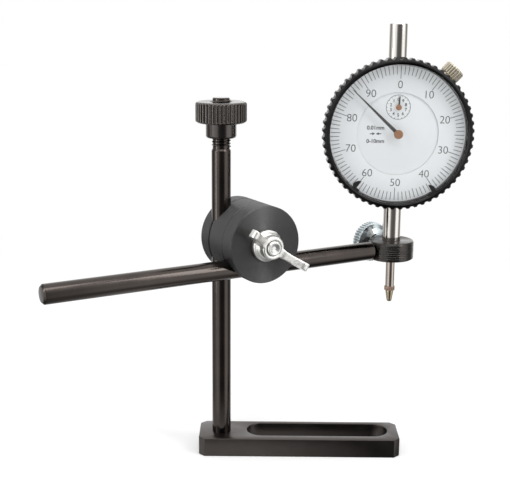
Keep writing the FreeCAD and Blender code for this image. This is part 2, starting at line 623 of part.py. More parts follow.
def bezel_clamp():
    """Knurled screw in the case's rim, and the shoe under it that grips the bezel's back."""
    shank, head = "clamp_screw_dia / 2", "clamp_head_dia / 2"
    near, far = CLAMP_HEAD_NEAR, f"{CLAMP_HEAD_NEAR} + clamp_head_thick"
    inner = f"{CASE_BORE} / 2 + bush_edge"
    screw = turned("clamp_screw", [("0", inner), (shank, inner), (shank, near),
                                   (f"{head} - disc_edge", near), (head, f"{near} + disc_edge"),
                                   (head, f"{far} - disc_edge"), (f"{head} - disc_edge", far),
                                   ("0", far)])
    fluted(screw, "clamp_screw", near, far, head, "flute_depth * 0.8", "clamp_flutes")
    node(screw, "bezel_clamp_screw", GAUGE.at(y="-clamp_screw_depth", pitch="clamp_screw_angle"))
    seat, under = "case_dia / 2 + running_gap", f"{CLAMP_HEAD_NEAR} - running_gap"
    arm = box("shoe_block", WORLD.at("-shoe_width / 2", "-bezel_back + shoe_gap", seat),
              "shoe_width", "bezel_back - clamp_screw_depth + shoe_width / 2 - shoe_gap",
              f"({under}) - ({seat})")
    hole = cylinder("shoe_hole", WORLD.at(y="-clamp_screw_depth", z="case_dia / 2 - 1"),
                    "clamp_screw_dia + 2 * running_gap", "case_wall + 6")
    node(cut("shoe_cut", arm, [hole]), "bezel_clamp_shoe", GAUGE.at(pitch="clamp_screw_angle"))


# --- spindle ---------------------------------------------------------------------------------

def rack_pitch():
    """One turn of the rack pinion is the spindle's full stroke."""
    return size("stroke") / size("rack_pinion_teeth")


def first_arbor():
    """Place of the arbor that the rack turns, to the left of the spindle and below centre."""
    across = size("rack_line") + size("stroke") / (2 * math.pi)
    reach = train_distance()
    return -across, -math.sqrt(reach ** 2 - across ** 2)


def train_distance():
    return size("gear_module") * (size("gear_teeth") + size("pinion_teeth")) / 2


def spindle():
    radius, half = size("spindle_dia") / 2, size("tip_spigot_dia") / 2
    low = size("spindle_low")
    high = size("cap_top") - size("cap_roof") - size("stroke") - size("spindle_headroom")
    bar = Part.makeCylinder(radius, high - low, Vector(0, 0, low))
    bar = bar.cut(Part.makeCylinder(half, size("tip_spigot"), Vector(0, 0, low)))
    pin = size("guide_pin_dia") / 2
    bar = bar.cut(Part.makeCylinder(pin, radius, Vector(0, 0, size("guide_pin_rest")),
                                    Vector(1, 0, 0)))
    pitch, tooth = rack_pitch(), rack_pitch() / math.pi
    tip, root = -size("rack_line") - 0.85 * tooth, -size("rack_line") + 1.25 * tooth
    middle = first_arbor()[1] - size("stroke") / 2
    count = int(size("rack_teeth"))
    start = first_arbor()[1] + pitch * (0.5 - round((first_arbor()[1] - middle) / pitch + count / 2))
    flat = Part.makeBox(radius, 2 * radius, pitch * count,
                        Vector(tip - radius, -radius, start - pitch / 2))
    bar = bar.cut(flat)
    gaps = []
    share = size("tooth_share")
    wide, slim = pitch * (1 - 0.26 * share) / 2, pitch * (1 - 0.78 * share) / 2
    for i in range(count - 1):
        z = start + pitch * i + pitch / 2
        wire = Part.makePolygon([Vector(tip - 0.01, -radius, z - wide), Vector(root, -radius, z - slim),
                                 Vector(root, -radius, z + slim), Vector(tip - 0.01, -radius, z + wide),
                                 Vector(tip - 0.01, -radius, z - wide)])
        gaps.append(Part.Face(wire).extrude(Vector(0, 2 * radius, 0)))
    coded("spindle", bar.cut(gaps), GAUGE.at())


def contact_point():
    spigot, collar = "tip_spigot_dia / 2", "tip_collar_dia / 2"
    wide, slim, edge = "tip_wide_dia / 2", "tip_slim_dia / 2", "tip_collar_height / 5"
    top, shoulder = "spindle_low", "spindle_low - tip_collar_height"
    body = turned("contact_point", [("0", f"{top} + tip_spigot - disc_edge"),
                                    (spigot, f"{top} + tip_spigot - disc_edge"), (spigot, top),
                                    (f"{collar} - {edge}", top), (collar, f"{top} - {edge}"),
                                    (collar, f"{shoulder} + {edge}"),
                                    (f"{collar} - {edge}", shoulder), (wide, shoulder),
                                    (slim, f"{TIP_END} + {slim} * 0.7"),
                                    (f"{slim} * 0.75", f"{TIP_END} + {slim} * 0.2"),
                                    (f"{slim} * 0.35", TIP_END), ("0", TIP_END)])
    node(body, "contact_point", GAUGE.at())


def spindle_guide():
    pin = cylinder("guide_pin_rod", None, "guide_pin_dia", "guide_pin_reach - spindle_dia / 4")
    node(pin, "guide_pin", GAUGE.at("spindle_dia / 4", z="guide_pin_rest", pitch="90"))
    depth = "-rear_plate_front + guide_pin_dia + rail_lip"
    rail = box("rail_block", WORLD.at("spindle_dia / 2 + rail_gap", "-guide_pin_dia - rail_lip",
                                      "guide_pin_rest - guide_pin_dia * 2"),
               "rail_thick", depth, "stroke + guide_pin_dia * 4")
    window = box("rail_window", WORLD.at("0", "-guide_pin_dia / 2 - running_gap",
                                         "guide_pin_rest - guide_pin_dia"),
                 "spindle_dia + 2", "guide_pin_dia + 2 * running_gap", "stroke + guide_pin_dia * 2")
    node(cut("rail_cut", rail, [window]), "guide_rail", GAUGE.at())


# --- movement --------------------------------------------------------------------------------

def toothed_wheel(teeth, module, thick, phase, back):
    """A wheel with slim straight-flanked teeth; phase turns one tooth to that direction."""
    pitch_radius = module * teeth / 2
    root, tip = pitch_radius - 1.2 * module, pitch_radius + 0.85 * module
    share = size("tooth_share")
    points = []
    for i in range(teeth):
        middle = phase + 2 * math.pi * i / teeth
        for radius, part in ((root, -0.39), (tip, -0.13), (tip, 0.13), (root, 0.39)):
            angle = middle + part * share * 2 * math.pi / teeth
            points.append(Vector(radius * math.cos(angle), radius * math.sin(angle), back))
    wheel = Part.Face(Part.makePolygon(points + points[:1]))
    return wheel.extrude(Vector(0, 0, thick))


def arbor(radius, back, front):
    return Part.makeCylinder(radius, front - back, Vector(0, 0, back))


def gear_train():
    """Rack pinion and first gear on one arbor, centre pinion, and take-up gear above it."""
    module, half = size("gear_module"), size("arbor_dia") / 2
    gear_back, thick = size("gear_back"), size("gear_thick")
    teeth, leaves = int(size("gear_teeth")), int(size("pinion_teeth"))
    rear = size("rear_plate_front") - size("plate_thick")
    front = size("plate_seat") + size("plate_thick")
    left, low = first_arbor()
    to_first = math.atan2(low, left)
    rack_module = rack_pitch() / math.pi
    rack_teeth = int(size("rack_pinion_teeth"))
    width = size("spindle_dia") * 0.6

    shaft = arbor(half, rear, front).fuse(toothed_wheel(rack_teeth, rack_module, width, 0, -width / 2))
    coded("rack_pinion", shaft, GAUGE.at(left, "0", low, roll=FACE))
    gap = math.pi / teeth
    wheel = toothed_wheel(teeth, module, thick, to_first + math.pi + gap, gear_back)
    wheel = wheel.fuse(arbor(3 * half, gear_back - 0.7, gear_back)).cut(arbor(half, rear, front))
    coded("first_gear", wheel, GAUGE.at(left, "0", low, roll=FACE))

    slim = 0.9 * half
    centre = arbor(slim, size("bridge_back"), size("hub_front") - 0.3)
    centre = centre.fuse(toothed_wheel(leaves, module, 1.1, to_first, gear_back - 0.2))
    coded("centre_pinion", centre, GAUGE.at(roll=FACE))

    up, step = math.pi / 2, 2 * math.pi / leaves
    ahead = (to_first - up) % step
    phase = -up + gap - ahead * leaves / teeth
    takeup = toothed_wheel(teeth, module, thick, phase, gear_back)
    takeup = takeup.fuse(arbor(slim, size("bridge_back"), size("counter_back") + 0.5))
    takeup = takeup.fuse(arbor(1.8 * half, gear_back, size("hairspring_back") + 0.4))
    coded("takeup_gear", takeup, GAUGE.at(z=train_distance(), roll=FACE))


def hairspring():
    """Flat spiral that keeps the train's teeth against one flank."""
    coils, steps = size("hairspring_coils"), 16
    inner, outer = size("hairspring_inner"), size("hairspring_outer")
    strip = size("hairspring_strip")
    total = int(coils * steps)
    sides = ([], [])
    for i in range(total + 1):
        angle = 2 * math.pi * i / steps
        radius = inner + (outer - inner) * i / total
        for side, offset in zip(sides, (0, strip)):
            side.append(Vector((radius + offset) * math.cos(angle),
                               (radius + offset) * math.sin(angle), 0))
    loop = sides[0] + sides[1][::-1]
    spiral = Part.Face(Part.makePolygon(loop + loop[:1])).extrude(
        Vector(0, 0, size("hairspring_height")))
    coded("hairspring", spiral, GAUGE.at("0", -size("hairspring_back"), train_distance(), roll=FACE))
    radius = "(hairspring_outer + hairspring_strip + 0.4)"
    stud = cylinder("stud_pin", None, "0.8", "plate_seat - hairspring_back")
    node(stud, "hairspring_stud", GAUGE.at(radius, "-hairspring_back", train_distance(), roll=FACE))


def pillar_spots():
    radius = f"({LEDGE_BORE} / 2 - plate_inset - pillar_inset)"
    bearings = ("pillar_bearing", "180 - pillar_bearing", "180 + pillar_bearing", "-pillar_bearing")
    return [on_circle(radius, bearing) for bearing in bearings]


def plates():
    left, low = first_arbor()
    pivot = "arbor_dia + 2 * pivot_gap"
    rear_back = "rear_plate_front - plate_thick"
    rear = cylinder("rear_disc", WORLD.at(z=rear_back), f"{LEDGE_BORE} - 2 * plate_inset",
                    "plate_thick")
    rear_hole = cylinder("rear_pivot", WORLD.at(left, low, f"{rear_back} - 1"), pivot, "plate_thick + 2")
    node(cut("rear_plate_cut", rear, [rear_hole]), "rear_plate", GAUGE.at(roll=FACE))
    front = cylinder("front_disc", WORLD.at(z="plate_seat"), f"{CASE_BORE} - 4 * running_gap",
                     "plate_thick")
    spots = [(left, low), (0, 0), (0, train_distance())]
    holes = [cylinder(f"front_pivot_{i}", WORLD.at(x, y, "plate_seat - 1"), pivot, "plate_thick + 2")
             for i, (x, y) in enumerate(spots)]
    node(cut("front_plate_cut", front, holes), "front_plate", GAUGE.at(roll=FACE))
    pillars = [cylinder(f"pillar_{i}", WORLD.at(x, y, "rear_plate_front"), "pillar_dia",
                        "plate_seat - rear_plate_front") for i, (x, y) in enumerate(pillar_spots())]
    node(group("pillar_set", pillars), "plate_pillars", GAUGE.at(roll=FACE))
    heads = []
    for i, (x, y) in enumerate(pillar_spots()):
        for side, z in (("front", "plate_seat + plate_thick"),
                        ("rear", "rear_plate_front - plate_thick - screw_head_thick")):
            heads.append(cylinder(f"plate_screw_{side}_{i}", WORLD.at(x, y, z), "pillar_dia",
                                  "screw_head_thick"))
    node(group("plate_screw_set", heads), "plate_screws", GAUGE.at(roll=FACE))


def centre_bridge():
    """Cross-shaped bridge in front of the spindle that carries two rear pivots."""
    reach = "bridge_post_across + bridge_post_dia"
    strip = "bridge_strip"
    bar = box("bridge_bar", WORLD.at(f"-({reach})", f"-{strip} / 2", "bridge_back"),
              f"2 * ({reach})", strip, "bridge_thick")
    upright = box("bridge_upright", WORLD.at(f"-{strip} / 2", "0", "bridge_back"), strip,
                  train_distance() + size("bridge_strip") / 2, "bridge_thick")
    posts = [cylinder(f"bridge_post_{i}", WORLD.at(f"bridge_post_across * {side}", "0", "bridge_back"),
                      "bridge_post_dia", "plate_seat - bridge_back") for i, side in enumerate((-1, 1))]
    pivot = "arbor_dia * 0.9 + 2 * pivot_gap"
    holes = [cylinder(f"bridge_pivot_{i}", WORLD.at(0, y, "bridge_back - 1"), pivot, "bridge_thick + 2")
             for i, y in enumerate((0, train_distance()))]
    node(cut("bridge_cut", fuse("bridge_solid", [bar, upright] + posts), holes), "centre_bridge",
         GAUGE.at(roll=FACE))


def return_spring():
    """Coil that pulls the guide pin, and with it the spindle, down to a post on the rear plate."""
    top, low = "guide_pin_rest - guide_pin_dia / 2", "spring_low + guide_pin_dia / 2"
    coil = "(spring_dia - spring_wire_dia) / 2"
    length = f"(({top}) - ({low}) - 2 * spring_wire_dia)"
    helix = make("Part::Helix", "spring_path", Pitch=f"{length} / spring_turns", Height=length,
                 Radius=coil)
    wire = make("Part::Circle", "spring_wire", f"placement(vector({coil}; 0; 0); rotation(0; 0; 90))",
                Radius="spring_wire_dia / 2")
    sweep = doc.addObject("Part::Sweep", "spring_coil")
    sweep.Sections = [wire]
    sweep.Spine = (helix, ["Edge1"])
    sweep.Solid = True
    sweep.Frenet = True
    node(sweep, "return_spring", GAUGE.at("spring_across", "0", f"{low} + spring_wire_dia"))
    pin = cylinder("spring_pin", None, "guide_pin_dia", "-rear_plate_front + guide_pin_dia")
    node(pin, "spring_post", GAUGE.at("spring_across", "-rear_plate_front", "spring_low", roll=FACE))


# --- dial centre and hands ---------------------------------------------------------------------

def dial_centre():
    disc = cylinder("dial_disc", WORLD.at(z="plate_seat + plate_thick"),
                    f"{SCALE_INNER_DIA} - 2 * dial_gap", "dial_centre_thick")
    holes = [cylinder(f"dial_hole_{i}", WORLD.at(0, y, "plate_seat"), "arbor_dia * 1.5", "3")
             for i, y in enumerate((0, train_distance()))]
    node(cut("dial_cut", disc, holes), "dial_centre", GAUGE.at(roll=FACE))


def hand(name, tip, tail, wide, slim, thick, back):
    """A tapered blade from a short tail to its tip."""
    wide, slim = f"{wide} / 2", f"{slim} / 2"
    return padded(name, [(f"-{slim}", tip), (f"-{wide}", f"-{tail}"), (wide, f"-{tail}"),
                         (slim, tip)], thick, back)


def hands():
    tip = f"({BEZEL_BORE} / 2 - hand_tip_gap)"
    blade = hand("hand", tip, "hand_tail", "hand_wide", "hand_slim", "hand_thick", "hand_back")
    ring = cylinder("hand_ring", WORLD.at(z="hand_back"), "hub_dia - 4 * hub_edge", "hand_thick")
    eye = cylinder("hand_eye", WORLD.at(z="hand_back - 1"), "arbor_dia * 1.6", "3")
    node(cut("hand_cut", fuse("hand_solid", [blade, ring]), [eye]), "main_hand",
         GAUGE.at(pitch="hand_angle", roll=FACE))
    hub = sleeve("main_hub", "hand_back - 2 * hub_edge", "hub_front", "arbor_dia * 1.6",
                 "arbor_dia * 0.9", "hub_edge / 2")
    boss = sleeve("main_boss", "hand_back + hand_thick", "hub_front", "hub_dia",
                  "arbor_dia * 1.5", "hub_edge")
    node(fuse("hub_solid", [hub, boss]), "main_hand_hub", GAUGE.at(roll=FACE))
    small = hand("small_hand", "counter_tip", "0", "counter_wide", "counter_slim", "counter_thick",
                 "counter_back")
    button = cylinder("small_hub", WORLD.at(z="counter_back - counter_thick"), "counter_hub_dia",
                      "counter_hub_thick")
    pin_hole = cylinder("small_eye", WORLD.at(z="counter_back - 1"), "arbor_dia * 0.9", "1.5")
    body = cut("small_cut", fuse("small_solid", [small, button]), [pin_hole])
    node(body, "counter_hand", GAUGE.at(z=train_distance(), pitch="counter_angle", roll=FACE))


def write_steps():
    """Recompute, stop on any failed object, and write one file for each sub-part."""
    doc.recompute()
    for thing in doc.Objects:
        if "Invalid" in thing.State or "Error" in thing.State:
            raise RuntimeError(f"{thing.Name} failed: {thing.State}")
    os.makedirs("parts", exist_ok=True)
    for thing in NODES:
        shape = thing.Shape
        if shape.isNull() or not shape.isValid() or not shape.Solids:
            raise RuntimeError(f"{thing.Label} has no valid solid")
        shape.exportStep(f"parts/{thing.Label}.step")


for build in (base_bar, post, post_nut, rod_clamp, clamp_bolt, wing_nut, arm_rod, arm_eye,
              thumb_screw, gauge_case, back_cover, stem, spindle_cap, bezel, bezel_inserts,
              retaining_ring, bezel_clamp, spindle, contact_point, spindle_guide, gear_train,
              hairspring, plates, centre_bridge, return_spring, dial_centre, hands):
    build()
marker("tolerance_marker_left", "marker_left", 1)
marker("tolerance_marker_right", "marker_right", -1)
write_steps()
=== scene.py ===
"""Finishes and fine shapes of a plunger dial gauge on a post, two-way clamp, arm and slotted base."""
import json
from math import atan2, cos, hypot, pi, radians, sin, sqrt, tan, tau

import bmesh
import bpy
from mathutils import Matrix, Vector


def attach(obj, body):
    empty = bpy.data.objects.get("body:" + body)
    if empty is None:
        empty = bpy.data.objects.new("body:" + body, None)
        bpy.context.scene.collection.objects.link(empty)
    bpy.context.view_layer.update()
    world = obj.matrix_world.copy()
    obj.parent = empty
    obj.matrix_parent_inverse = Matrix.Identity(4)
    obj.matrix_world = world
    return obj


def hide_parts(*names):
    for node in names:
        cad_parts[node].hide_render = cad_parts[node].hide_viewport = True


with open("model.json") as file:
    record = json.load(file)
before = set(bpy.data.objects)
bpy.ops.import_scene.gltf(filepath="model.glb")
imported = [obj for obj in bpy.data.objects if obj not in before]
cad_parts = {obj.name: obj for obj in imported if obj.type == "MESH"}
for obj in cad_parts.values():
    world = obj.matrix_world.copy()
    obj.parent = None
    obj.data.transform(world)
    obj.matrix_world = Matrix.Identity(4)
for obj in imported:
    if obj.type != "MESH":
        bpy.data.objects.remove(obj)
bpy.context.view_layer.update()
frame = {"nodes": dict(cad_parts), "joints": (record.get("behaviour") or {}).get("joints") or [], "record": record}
NODES = frame["nodes"]
JOINTS = {joint["name"]: joint for joint in frame["joints"]}
MM = 0.001
WELD = 0.002
SMOOTH_BELOW = 32
ROUND_STEPS = 96
ROD_RADIUS = 4.0
TUBE_BORE = 2.6
PRINT_THICK = 0.02
WHITE = (1, 1, 1, 1)


# ---------------------------------------------------------------- placing

def lay(origin, out, up=(0, 0, 1)):
    """A placement in millimetres whose Z axis points along out and whose Y axis leans towards up."""
    z_axis = Vector(out).normalized()
    x_axis = Vector(up).cross(z_axis).normalized()
    y_axis = z_axis.cross(x_axis)
    turn = Matrix((x_axis, y_axis, z_axis)).transposed().to_4x4()
    return Matrix.Translation(origin) @ turn @ Matrix.Scale(MM, 4)


def reach(node, place):
    """Lowest and highest corner of a CAD node along a placement's own axes, in millimetres."""
    inward = place.inverted()
    points = [inward @ vertex.co for vertex in NODES[node].data.vertices]
    return Vector(map(min, zip(*points))), Vector(map(max, zip(*points)))


def pivot(name):
    """Where a joint's axis passes."""
    return Vector(JOINTS[name]["pos_m"])


def line_of(name):
    """The direction of a joint's axis."""
    return Vector(JOINTS[name]["axis"])


def turned_by(degrees):
    """A clockwise turn, seen from the tip of Z."""
    return Matrix.Rotation(radians(-degrees), 4, "Z")


UPRIGHT = lay((0, 0, 0), (0, 0, 1), (0, 1, 0))
STEM = lay(pivot("gauge_turn").xy.to_3d(), (0, 0, 1), -line_of("bezel_turn"))
DIAL_MIDDLE = Vector((*pivot("gauge_turn").xy, pivot("bezel_turn").z))
DIAL = lay(DIAL_MIDDLE, line_of("bezel_turn"))
CLAMP = lay(pivot("wing_nut_spin"), line_of("wing_nut_spin"))
ARM = lay((0, 0, pivot("gauge_turn").z), line_of("arm_slide"))
EYE = lay(pivot("gauge_turn"), (0, 0, 1), line_of("arm_slide"))
THUMB = lay(pivot("gauge_turn"), -EYE.col[0].xyz)
LOCK = lay(pivot("bezel_clamp_screw_spin"), line_of("bezel_clamp_screw_spin"))
COUNTER = Matrix.Translation((0, (pivot("counter_wheel_turn").z - pivot("centre_wheel_turn").z) / MM, 0))


# ---------------------------------------------------------------- shaping

def mesh_of(name, bm):
    """Mesh data from a bmesh, which is freed."""
    mesh = bpy.data.meshes.new(name)
    bm.to_mesh(mesh)
    bm.free()
    return mesh


def linked(name, data):
    """A new object in the scene."""
    thing = bpy.data.objects.new(name, data)
    bpy.context.scene.collection.objects.link(thing)
    return thing


def evaluated(holder):
    """The final mesh of a scratch object, which is deleted."""
    bpy.context.view_layer.update()
    result = bpy.data.meshes.new_from_object(holder.evaluated_get(bpy.context.evaluated_depsgraph_get()))
    bm = bmesh.new()
    bm.from_mesh(result)
    bpy.data.objects.remove(holder)
    bpy.data.meshes.remove(result)
    return bm


def merged(*parts):
    """One mesh from several."""
    whole = bmesh.new()
    for part in parts:
        carrier = mesh_of("carrier", part)
        whole.from_mesh(carrier)
        bpy.data.meshes.remove(carrier)
    return whole


def moved(bm, matrix):
    """The mesh, carried by a matrix."""
    bmesh.ops.transform(bm, matrix=matrix, verts=bm.verts)
    return bm


def drawn(points, segments=4, closed=False):
    """A wire through (across, along[, corner radius]) points in the XZ plane."""
    bm = bmesh.new()
    corners = [bm.verts.new((point[0], 0, point[1])) for point in points]
    following = corners[1:] + corners[:1] if closed else corners[1:]
    for pair in zip(corners, following):
        bm.edges.new(pair)
    for point, corner in zip(points, corners):
        if len(point) > 2:
            before, after = [edge.other_vert(corner).co - corner.co for edge in corner.link_edges]
            setback = point[2] / tan(before.angle(after) / 2)
            bmesh.ops.bevel(bm, geom=[corner], offset=setback, offset_type="OFFSET", affect="VERTICES",
                            segments=segments, profile=0.5, material=-1)
    return bm


def lathe(points, steps=ROUND_STEPS, segments=4, closed=False):
    """A solid turned about Z from a profile of (radius, height[, corner radius])."""
    bm = drawn(points, segments, closed)
    bmesh.ops.spin(bm, geom=bm.verts[:] + bm.edges[:], cent=(0, 0, 0), axis=(0, 0, 1), angle=tau,
                   steps=steps, use_merge=True)
    bmesh.ops.remove_doubles(bm, verts=bm.verts, dist=WELD)
    return bm


def thickened(bm, along):
    """A solid from a flat closed wire, filled and carried along a vector."""
    bmesh.ops.triangle_fill(bm, edges=bm.edges, use_beauty=True)
    grown = bmesh.ops.extrude_face_region(bm, geom=bm.faces[:])
    risen = [item for item in grown["geom"] if isinstance(item, bmesh.types.BMVert)]
    bmesh.ops.translate(bm, vec=along, verts=risen)
    bmesh.ops.recalc_face_normals(bm, faces=bm.faces)
    return bm


def slab(loops, low, high):
    """A flat solid between two heights. The first loop is its rim and any others are holes."""
    bm = bmesh.new()
    for loop in loops:
        ring = [bm.verts.new((x, y, low)) for x, y in loop]
        for pair in zip(ring, ring[1:] + ring[:1]):
            bm.edges.new(pair)
    return thickened(bm, (0, 0, high - low))


def plate(points, thickness, segments=5):
    """A plate in the XZ plane with rounded corners, centred on Y."""
    flat = drawn(points, segments, True)
    return moved(thickened(flat, (0, thickness, 0)), Matrix.Translation((0, -thickness / 2, 0)))


def cast(bm, grain, rounds):
    """The mesh melted into one skin with soft inner corners, as a casting has."""
    mesh = mesh_of("pattern", bm)
    holder = linked("pattern", mesh)
    skin = holder.modifiers.new("skin", "REMESH")
    skin.mode = "VOXEL"
    skin.voxel_size = grain
    soften = holder.modifiers.new("soften", "SMOOTH")
    soften.factor = 0.5
    soften.iterations = rounds
    poured = evaluated(holder)
    bpy.data.meshes.remove(mesh)
    return poured


def softened(bm, width, segments=3, above=30):
    """The mesh with its sharp edges rounded."""
    sharp = [edge for edge in bm.edges if edge.is_manifold and edge.calc_face_angle() > radians(above)]
    bmesh.ops.bevel(bm, geom=sharp, offset=width, offset_type="OFFSET", affect="EDGES", segments=segments,
                    profile=0.5, material=-1, clamp_overlap=True)
    return bm


def fluted(bm, radius, count, flute, depth, shift=0.0):
    """Presses round-bottomed flutes into a rim: flute is the cutter's radius."""
    centre = radius + flute - depth
    for vertex in bm.verts:
        angle = atan2(vertex.co.y, vertex.co.x) * count / tau + shift
        away = (angle - round(angle)) * tau / count
        aside = centre * sin(away)
        if abs(aside) < flute:
            limit = centre * cos(away) - sqrt(flute ** 2 - aside ** 2)
            out = hypot(vertex.co.x, vertex.co.y)
            if out > limit:
                vertex.co.xy *= limit / out
    return bm


def thread(radius, depth, pitch, low, high, steps=48):
    """The ridge of a screw thread, rooted just inside its core."""
    bm = bmesh.new()
    root = radius - depth * 1.15
    crest = pitch * 0.07
    foot = pitch * 0.47
    outline = ((root, low - foot), (radius, low - crest), (radius, low + crest), (root, low + foot))
    bm.faces.new([bm.verts.new((across, 0, along)) for across, along in outline])
    turns = (high - low) / pitch
    bmesh.ops.spin(bm, geom=bm.verts[:] + bm.edges[:] + bm.faces[:], cent=(0, 0, 0), axis=(0, 0, 1),
                   dvec=(0, 0, pitch / steps), angle=tau * turns, steps=int(steps * turns))
    return bm


def lettered(words, height, stroke=0.0):
    """Flat lettering of a digit height, centred on the origin. stroke thickens or thins its lines."""
    curve = bpy.data.curves.new("lettering", "FONT")
    curve.body = words
    curve.align_x = "CENTER"
    curve.offset = stroke
    curve.extrude = 0.5
    curve.resolution_u = 6
    bm = evaluated(linked("lettering", curve))
    bpy.data.curves.remove(curve)
    tops = [vertex.co.y for vertex in bm.verts]
    size = height / (max(tops) - min(tops))
    middle = (max(tops) + min(tops)) / 2
    return moved(bm, Matrix.Diagonal((size, size, PRINT_THICK, 1)) @ Matrix.Translation((0, -middle, 0)))


def piece(name, bm, place, finish, body, *nodes):
    """Makes a shown piece from a mesh drawn in millimetres in a placement."""
    bmesh.ops.remove_doubles(bm, verts=bm.verts, dist=WELD)
    bmesh.ops.transform(bm, matrix=place, verts=bm.verts)
    bmesh.ops.recalc_face_normals(bm, faces=bm.faces)
    for edge in bm.edges:
        edge.smooth = not edge.is_manifold or edge.calc_face_angle() < radians(SMOOTH_BELOW)
    for face in bm.faces:
        face.smooth = True
    mesh = mesh_of(name, bm)
    mesh.materials.append(FINISH[finish])
    shown = linked(name, mesh)
    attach(shown, body)
    if nodes:
        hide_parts(*nodes)


# ---------------------------------------------------------------- shader tools and shared groups

def new_group(name, inputs, outputs):
    """An empty shader group with its sockets, and the nodes that read and write them."""
    group = bpy.data.node_groups.new(name, "ShaderNodeTree")
    for label, kind, value in inputs:
        socket = group.interface.new_socket(label, in_out="INPUT", socket_type=kind)
        if value is not None:
            socket.default_value = value
    for label, kind in outputs:
        group.interface.new_socket(label, in_out="OUTPUT", socket_type=kind)
    return group, group.nodes.new("NodeGroupInput"), group.nodes.new("NodeGroupOutput")


def chain(tree, kind, *feeds, **settings):
    """A new node in a tree. Feeds are (input, source socket or value)."""
    node = tree.nodes.new(kind)
    for key, value in settings.items():
        setattr(node, key, value)
    for socket, source in feeds:
        if isinstance(source, bpy.types.NodeSocket):
            tree.links.new(source, node.inputs[socket])
        else:
            node.inputs[socket].default_value = source
    return node


def worked(tree, operation, *terms):
    """The result of a sum on values or sockets."""
    return chain(tree, "ShaderNodeMath", *enumerate(terms), operation=operation).outputs[0]


def ranged(tree, value, start, end, low=0.0, high=1.0):
    """A value carried from one range to another, and kept inside it."""
    return chain(tree, "ShaderNodeMapRange", ("Value", value), ("From Min", start), ("From Max", end),
                 ("To Min", low), ("To Max", high)).outputs[0]


def blended(tree, mask, low, high):
    """A mix by a mask of two colours, each a value or a socket."""
    low, high = (end if isinstance(end, bpy.types.NodeSocket) else (*end, 1) for end in (low, high))
    return chain(tree, "ShaderNodeMix", ("Factor", mask), ("A", low), ("B", high),
                 data_type="RGBA").outputs["Result"]


def either(tree, share, first, second):
    """One shader, giving way to another by a share."""
    return chain(tree, "ShaderNodeMixShader", (0, share), (1, first), (2, second)).outputs[0]


def glow(tree, kind, strength, colour=WHITE):
    """A world background or an emission."""
    return chain(tree, kind, ("Color", colour), ("Strength", strength)).outputs[0]


def surfaced(tree, source, output="Material Output"):
    """Makes a shader the surface of a material or a world."""
    tree.links.new(source, tree.nodes[output].inputs["Surface"])


def direct_rays(tree, path):
    """Whether a ray comes from the view, straight or through the window."""
    return worked(tree, "MAXIMUM", path.outputs["Is Camera Ray"], path.outputs["Is Transmission Ray"])


def grain_group():
    """Fine lathe marks round Z: a normal, and a value that shifts from ring to ring."""
    tree, given, result = new_group(
        "turned_grain",
        (("Vector", "NodeSocketVector", None), ("Rings", "NodeSocketFloat", 9.0),
         ("Depth", "NodeSocketFloat", 0.1), ("Normal", "NodeSocketVector", None)),
        (("Normal", "NodeSocketVector"), ("Value", "NodeSocketFloat")))
    apart = chain(tree, "ShaderNodeSeparateXYZ", (0, given.outputs["Vector"]))
    flat = chain(tree, "ShaderNodeCombineXYZ", (0, apart.outputs[0]), (1, apart.outputs[1]))
    radius = chain(tree, "ShaderNodeVectorMath", (0, flat.outputs[0]), operation="LENGTH")
    across = worked(tree, "MULTIPLY", radius.outputs["Value"], given.outputs["Rings"])
    along = worked(tree, "MULTIPLY", apart.outputs[2], given.outputs["Rings"])
    spread = chain(tree, "ShaderNodeCombineXYZ", (0, across), (2, along))
    marks = chain(tree, "ShaderNodeTexNoise", ("Vector", spread.outputs[0]), ("Scale", 1.0),
                  ("Detail", 3.0), ("Roughness", 0.65))
    bump = chain(tree, "ShaderNodeBump", ("Height", marks.outputs["Fac"]), ("Distance", 0.0001),
                 ("Strength", given.outputs["Depth"]), ("Normal", given.outputs["Normal"]))
    tree.links.new(bump.outputs[0], result.inputs["Normal"])
    tree.links.new(marks.outputs["Fac"], result.inputs["Value"])
    return tree


def cloud_group():
    """Soft uneven patches, as oil and handling leave them, between a low and a high value."""
    tree, given, result = new_group(
        "handled_patches",
        (("Vector", "NodeSocketVector", None), ("Size", "NodeSocketFloat", 120.0),
         ("Low", "NodeSocketFloat", 0.2), ("High", "NodeSocketFloat", 0.4)),
        (("Value", "NodeSocketFloat"), ("Mask", "NodeSocketFloat")))
    noise = chain(tree, "ShaderNodeTexNoise", ("Vector", given.outputs["Vector"]),
                  ("Scale", given.outputs["Size"]), ("Detail", 4.0), ("Roughness", 0.55))
    spread = ranged(tree, noise.outputs["Fac"], 0.32, 0.68, given.outputs["Low"], given.outputs["High"])
    tree.links.new(spread, result.inputs["Value"])
    tree.links.new(noise.outputs["Fac"], result.inputs["Mask"])
    return tree


def edge_group():
    """Where corners are rubbed bright."""
    tree, given, result = new_group(
        "edge_wear",
        (("Vector", "NodeSocketVector", None), ("Width", "NodeSocketFloat", 0.0003),
         ("Amount", "NodeSocketFloat", 1.0)),
        (("Mask", "NodeSocketFloat"),))
    rounded = chain(tree, "ShaderNodeBevel", ("Radius", given.outputs["Width"]), samples=4)
    true = chain(tree, "ShaderNodeNewGeometry")
    match = chain(tree, "ShaderNodeVectorMath", (0, rounded.outputs[0]), (1, true.outputs["Normal"]),
                  operation="DOT_PRODUCT")
    noise = chain(tree, "ShaderNodeTexNoise", ("Vector", given.outputs["Vector"]), ("Scale", 900.0),
                  ("Detail", 3.0))
    worn = ranged(tree, match.outputs["Value"], 0.995, 0.80)
    broken = ranged(tree, noise.outputs["Fac"], 0.35, 0.65, 0.35, 1.0)
    mixed = worked(tree, "MULTIPLY", worn, broken)
    tree.links.new(worked(tree, "MULTIPLY", mixed, given.outputs["Amount"]), result.inputs["Mask"])
    return tree


